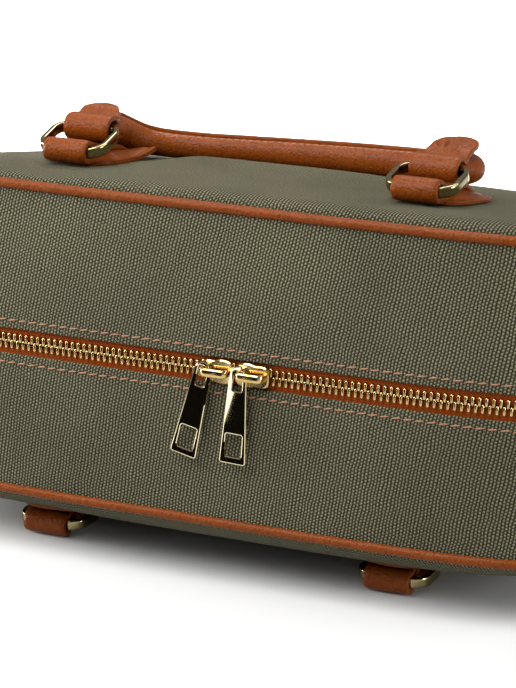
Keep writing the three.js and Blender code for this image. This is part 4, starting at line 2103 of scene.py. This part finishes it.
    def strap(self, side: Side) -> BMesh:
        """Shapes an end strap: out of the grip, round the ring and back over it in a rounded tongue.

        Args:
            side: The strap's end of the handle.

        Returns:
            The strap.
        """
        tongue, half, radius = self.tongues[side], self.strap_wide / 2, self.strap_radius
        tilt = math.radians(self.ring_tilts[side])
        bar = Vector((0, math.cos(tilt), math.sin(tilt))) * (2 * self.ring_half_long)
        route = [bar + Vector((0, y, rise - radius)) for y, rise in self.strap_under]
        route += arc(bar, radius, -90, -180)
        widths = [half] * len(route)
        for k in range(1, self.tongue_steps + 1):
            away = tongue.reach * math.sin(math.pi / 2 * k / self.tongue_steps)
            over = max(0.0, away - tongue.reach + half) / half
            settled = smoothstep(away, self.tongue_start, self.tongue_settled)
            dip = self.tongue_dip * math.exp(-(((away - self.dip_place) / self.dip_half) ** 2))
            rise = tongue.rise * smoothstep(away, self.tongue_start, self.tongue_risen * tongue.reach)
            route.append(bar + Vector((tongue.lean * settled, away, radius + rise - dip)))
            widths.append(half * (1 - tongue.narrowing * settled) * math.sqrt(max(self.tip, 1 - over**2)))
        bm = self.ribbon(route, widths, self.strap_sides)
        for vert in bm.verts:
            away = vert.co - bar
            if away.z <= 0:
                continue
            ray, reach = math.atan2(away.x, away.y), math.hypot(away.x, away.y)
            where = Vector((self.wrinkle_rays * ray, reach / self.wrinkle_along, side.value + 2))
            depth = tongue.wrinkle * smoothstep(away.y, *self.wrinkle_start)
            depth *= smoothstep(half - abs(away.x), *self.wrinkle_sides)
            depth *= smoothstep(tongue.reach - away.y, *self.wrinkle_end)
            vert.co.z += depth * noise.noise(where)
        return bm


FRONT_ROWS = [
    GripRow(81.5, 22.5, 3.2, 11.4, 4.0),
    GripRow(81.5, 34.0, 1.8, 12.0, 6.4),
    GripRow(82.0, 46.0, -1.2, 11.0, 7.4),
    GripRow(69.0, 59.0, -5.2, 7.2, 6.6),
    GripRow(48.0, 65.5, -7.1, 5.9, 6.4),
    GripRow(22.0, 67.0, -7.9, 5.8, 6.2),
    GripRow(-22.0, 67.0, -9.0, 5.6, 5.6),
    GripRow(-48.0, 65.0, -9.5, 5.7, 5.6),
    GripRow(-69.0, 57.5, -7.4, 7.2, 6.0),
    GripRow(-80.0, 45.0, -1.1, 10.2, 7.7),
    GripRow(-81.5, 34.0, 2.0, 11.5, 6.2),
    GripRow(-81.5, 22.5, 4.6, 11.0, 3.6),
]
BACK_HALF = [
    GripRow(81.5, 22.5, -1.2, 11.0, 3.4),
    GripRow(81.5, 34.0, -1.2, 11.0, 3.9),
    GripRow(79.0, 46.0, -0.9, 9.4, 4.3),
    GripRow(68.0, 58.0, -0.3, 7.0, 4.9),
    GripRow(48.0, 65.0, 0.1, 5.7, 5.4),
    GripRow(22.0, 67.0, 0.1, 5.5, 5.4),
]
BACK_ROWS = BACK_HALF + [replace(row, x=-row.x) for row in reversed(BACK_HALF)]


def handle_sets(form: BagForm) -> list[HandleSet]:
    """The two handles, each with its tabs and rings.

    Args:
        form: The bag that carries them.

    Returns:
        The front handle, which lies askew, and the back one, which is folded under the bag.
    """
    front = HandleSet(
        form=form,
        half=Half.FRONT,
        body=Body.FRONT_HANDLE,
        y=-117.8,
        z=168.9,
        seat=5.4,
        patch_tilt=-8.8,
        ring_tilts={Side.LEFT: 15.0, Side.RIGHT: 10.5},
        rows=FRONT_ROWS,
        tongues={
            Side.LEFT: Tongue(reach=16.5, rise=1.6),
            Side.RIGHT: Tongue(reach=28.0, rise=1.8, narrowing=0.08, wrinkle=1.4, lean=1.3),
        },
        tab_leaf=((37, 2.4, 11), (33, 4.0, 11), (28, 5.4, 11), (20, 5.8, 10.5), (12, 5.6, 10.25)),
        ear_lift=3.4,
        strap_radius=4.7,
        patch_swell=4.5,
    )
    back = HandleSet(
        form=form,
        half=Half.BACK,
        body=Body.BACK_HANDLE,
        y=-142.5,
        z=5.7,
        seat=8.6,
        patch_tilt=0.0,
        ring_tilts=dict.fromkeys(Side, 0.0),
        rows=BACK_ROWS,
        tongues=dict.fromkeys(Side, Tongue(reach=25.0, rise=-0.5)),
        patch_start=-2.0,
        welt_angle=4.0,
        stitch_angle=-18.0,
    )
    return [front, back]


# Studio


@dataclass(frozen=True)
class Softbox:
    """A square light: where it hangs, its side, its power in watts, what it faces and its beam in degrees."""

    name: str
    place: tuple[float, float, float]
    size: float
    power: float
    target: tuple[float, float, float]
    spread: float = 180.0

    def hang(self) -> None:
        """Hangs the light."""
        data = bpy.data.lights.new(self.name, "AREA")
        data.size = self.size * MM
        data.spread = math.radians(self.spread)
        data.energy = self.power
        light = bpy.data.objects.new(self.name, data)
        place = Vector(self.place)
        light.location = place * MM
        light.rotation_euler = (Vector(self.target) - place).to_track_quat("-Z", "Y").to_euler()
        bpy.context.scene.collection.objects.link(light)


@dataclass(frozen=True)
class Card:
    """A card that stands in front of the bag, seen only in the polished metal: a dark painted reflection, or
    a painted highlight where it glows.
    """

    name: str
    place: tuple[float, float, float]
    size: tuple[float, float]
    colour: str
    glow: float = 0.0  # how strongly it shines as a painted highlight; 0 for a dark painted reflection
    lean: float = 0.0  # how far it leans to the right, in degrees

    def stand(self) -> None:
        """Stands the card up."""
        bm = bmesh.new()
        bmesh.ops.create_grid(bm, x_segments=1, y_segments=1, size=0.5)
        upright = Matrix.Rotation(math.radians(self.lean), 4, "Y") @ Matrix.Rotation(math.pi / 2, 4, "X")
        moved(bm, Matrix.Translation(self.place) @ upright @ Matrix.Diagonal((*self.size, 1, 1)))
        face = linear(self.colour)
        card = staged(
            self.name,
            bm,
            f"{self.name}_card",
            {
                "Base Color": face,
                "Roughness": 1.0,
                "Specular IOR Level": 0.0,
                "Emission Color": face,
                "Emission Strength": self.glow,
            },
        )
        card.visible_camera = False
        card.visible_diffuse = False
        card.visible_shadow = False


def staged(name: str, bm: BMesh, finish: str, constants: dict[str, Any]) -> Object:
    """Makes a thing of the studio, which isn't part of the bag.

    Args:
        name: Its name.
        bm: Its mesh in millimetres, which is used up.
        finish: The name of its material.
        constants: The values of its shader.

    Returns:
        The thing.
    """
    bmesh.ops.scale(bm, vec=Vector((MM, MM, MM)), verts=bm.verts[:])
    mesh = bpy.data.meshes.new(name)
    bm.to_mesh(mesh)
    bm.free()
    material = bpy.data.materials.new(finish)
    material.use_nodes = True
    shader = material.node_tree.nodes["Principled BSDF"]
    for socket, value in constants.items():
        shader.inputs[socket].default_value = value
    mesh.materials.append(material)
    thing = bpy.data.objects.new(name, mesh)
    bpy.context.scene.collection.objects.link(thing)
    return thing


STAND = (0.0, -140.0, 90.0)
LIGHTS = (
    Softbox("overhead", (-170, -540, 800), 800, 14.6, STAND),
    Softbox("side", (-1300, -620, 620), 700, 10.5, STAND),
    Softbox("background", (-380, 640, 800), 900, 24, (-380, 641, 0), spread=90),
    Softbox("fill", (1500, 500, 900), 900, 12, STAND),
    Softbox("left_skim", (-900, -180, 170), 300, 9, (-150, -200, 0)),
    Softbox("right_skim", (900, -170, 170), 300, 5, (150, -200, 0)),
)
# painted reflections: a dark flag and a glowing gleam, seen only in the polished metal
CARDS = (
    Card("flag", (-130, -450, 100), (500, 200), "#0c0b0a"),
    Card("gleam", (-104, -446, 46), (8, 46), "#ffffff", glow=0.7, lean=14),
)


@dataclass
class Studio:
    """The pale floor, the soft light and the camera."""

    azimuth: float = 25.753
    elevation: float = 17.607
    distance: float = 1271.0
    focal_pixels: float = 2997.0
    aim: Vector = field(default_factory=lambda: Vector((15.97, -129.8, 96.96)))
    clip_end: float = 50000.0
    floor_half: float = 4000.0
    floor_drop: float = 0.1
    floor_colour: str = "#bdbdbc"
    floor_roughness: float = 0.7
    world_strength: float = 0.28

    def build(self) -> None:
        """Sets up the whole studio."""
        self.camera()
        self.floor()
        self.lights()

    def camera(self) -> None:
        """Puts the camera at the photograph's angle."""
        around, up = math.radians(self.azimuth), math.radians(self.elevation)
        away = Vector((math.sin(around) * math.cos(up), -math.cos(around) * math.cos(up), math.sin(up)))
        data = bpy.data.cameras.new("camera")
        data.lens = self.focal_pixels * data.sensor_width / max(IMAGE_SIZE)
        data.clip_end = self.clip_end * MM
        camera = bpy.data.objects.new("camera", data)
        camera.location = (Vector(STAND) + away * self.distance) * MM
        look = self.aim * MM - camera.location
        camera.rotation_euler = look.to_track_quat("-Z", "Y").to_euler()
        bpy.context.scene.collection.objects.link(camera)
        bpy.context.scene.camera = camera

    def floor(self) -> None:
        """Lays the pale floor, just below the bag."""
        bm = bmesh.new()
        bmesh.ops.create_grid(bm, x_segments=4, y_segments=4, size=self.floor_half)
        constants = {"Base Color": linear(self.floor_colour), "Roughness": self.floor_roughness}
        floor = staged("floor", bm, "painted_board", constants)
        floor.location.z = -self.floor_drop * MM

    def lights(self) -> None:
        """Makes the white surround, hangs the soft lights and stands the cards that paint reflections into
        the metal.
        """
        world = bpy.data.worlds.new("surround")
        world.use_nodes = True
        background = world.node_tree.nodes["Background"]
        background.inputs["Color"].default_value = (1, 1, 1, 1)
        background.inputs["Strength"].default_value = self.world_strength
        bpy.context.scene.world = world
        bpy.context.scene.view_settings.view_transform = "Standard"
        for light in LIGHTS:
            light.hang()
        for card in CARDS:
            card.stand()


def main() -> None:
    """Builds the bag, piece by piece, and notes its size."""
    logging.basicConfig(level=logging.INFO, format="%(message)s")
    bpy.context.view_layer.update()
    form = BagForm()
    Studio().build()
    CanvasBody(form).build()
    SeamPiping(form).build()
    sliders = zip_sliders(form)
    ZipChain(form, [slider.x for slider in sliders]).build()
    ZipSewing(form).build()
    for slider in sliders:
        slider.build()
    for handle_set in handle_sets(form):
        handle_set.build()


if __name__ == "__main__":
    main()
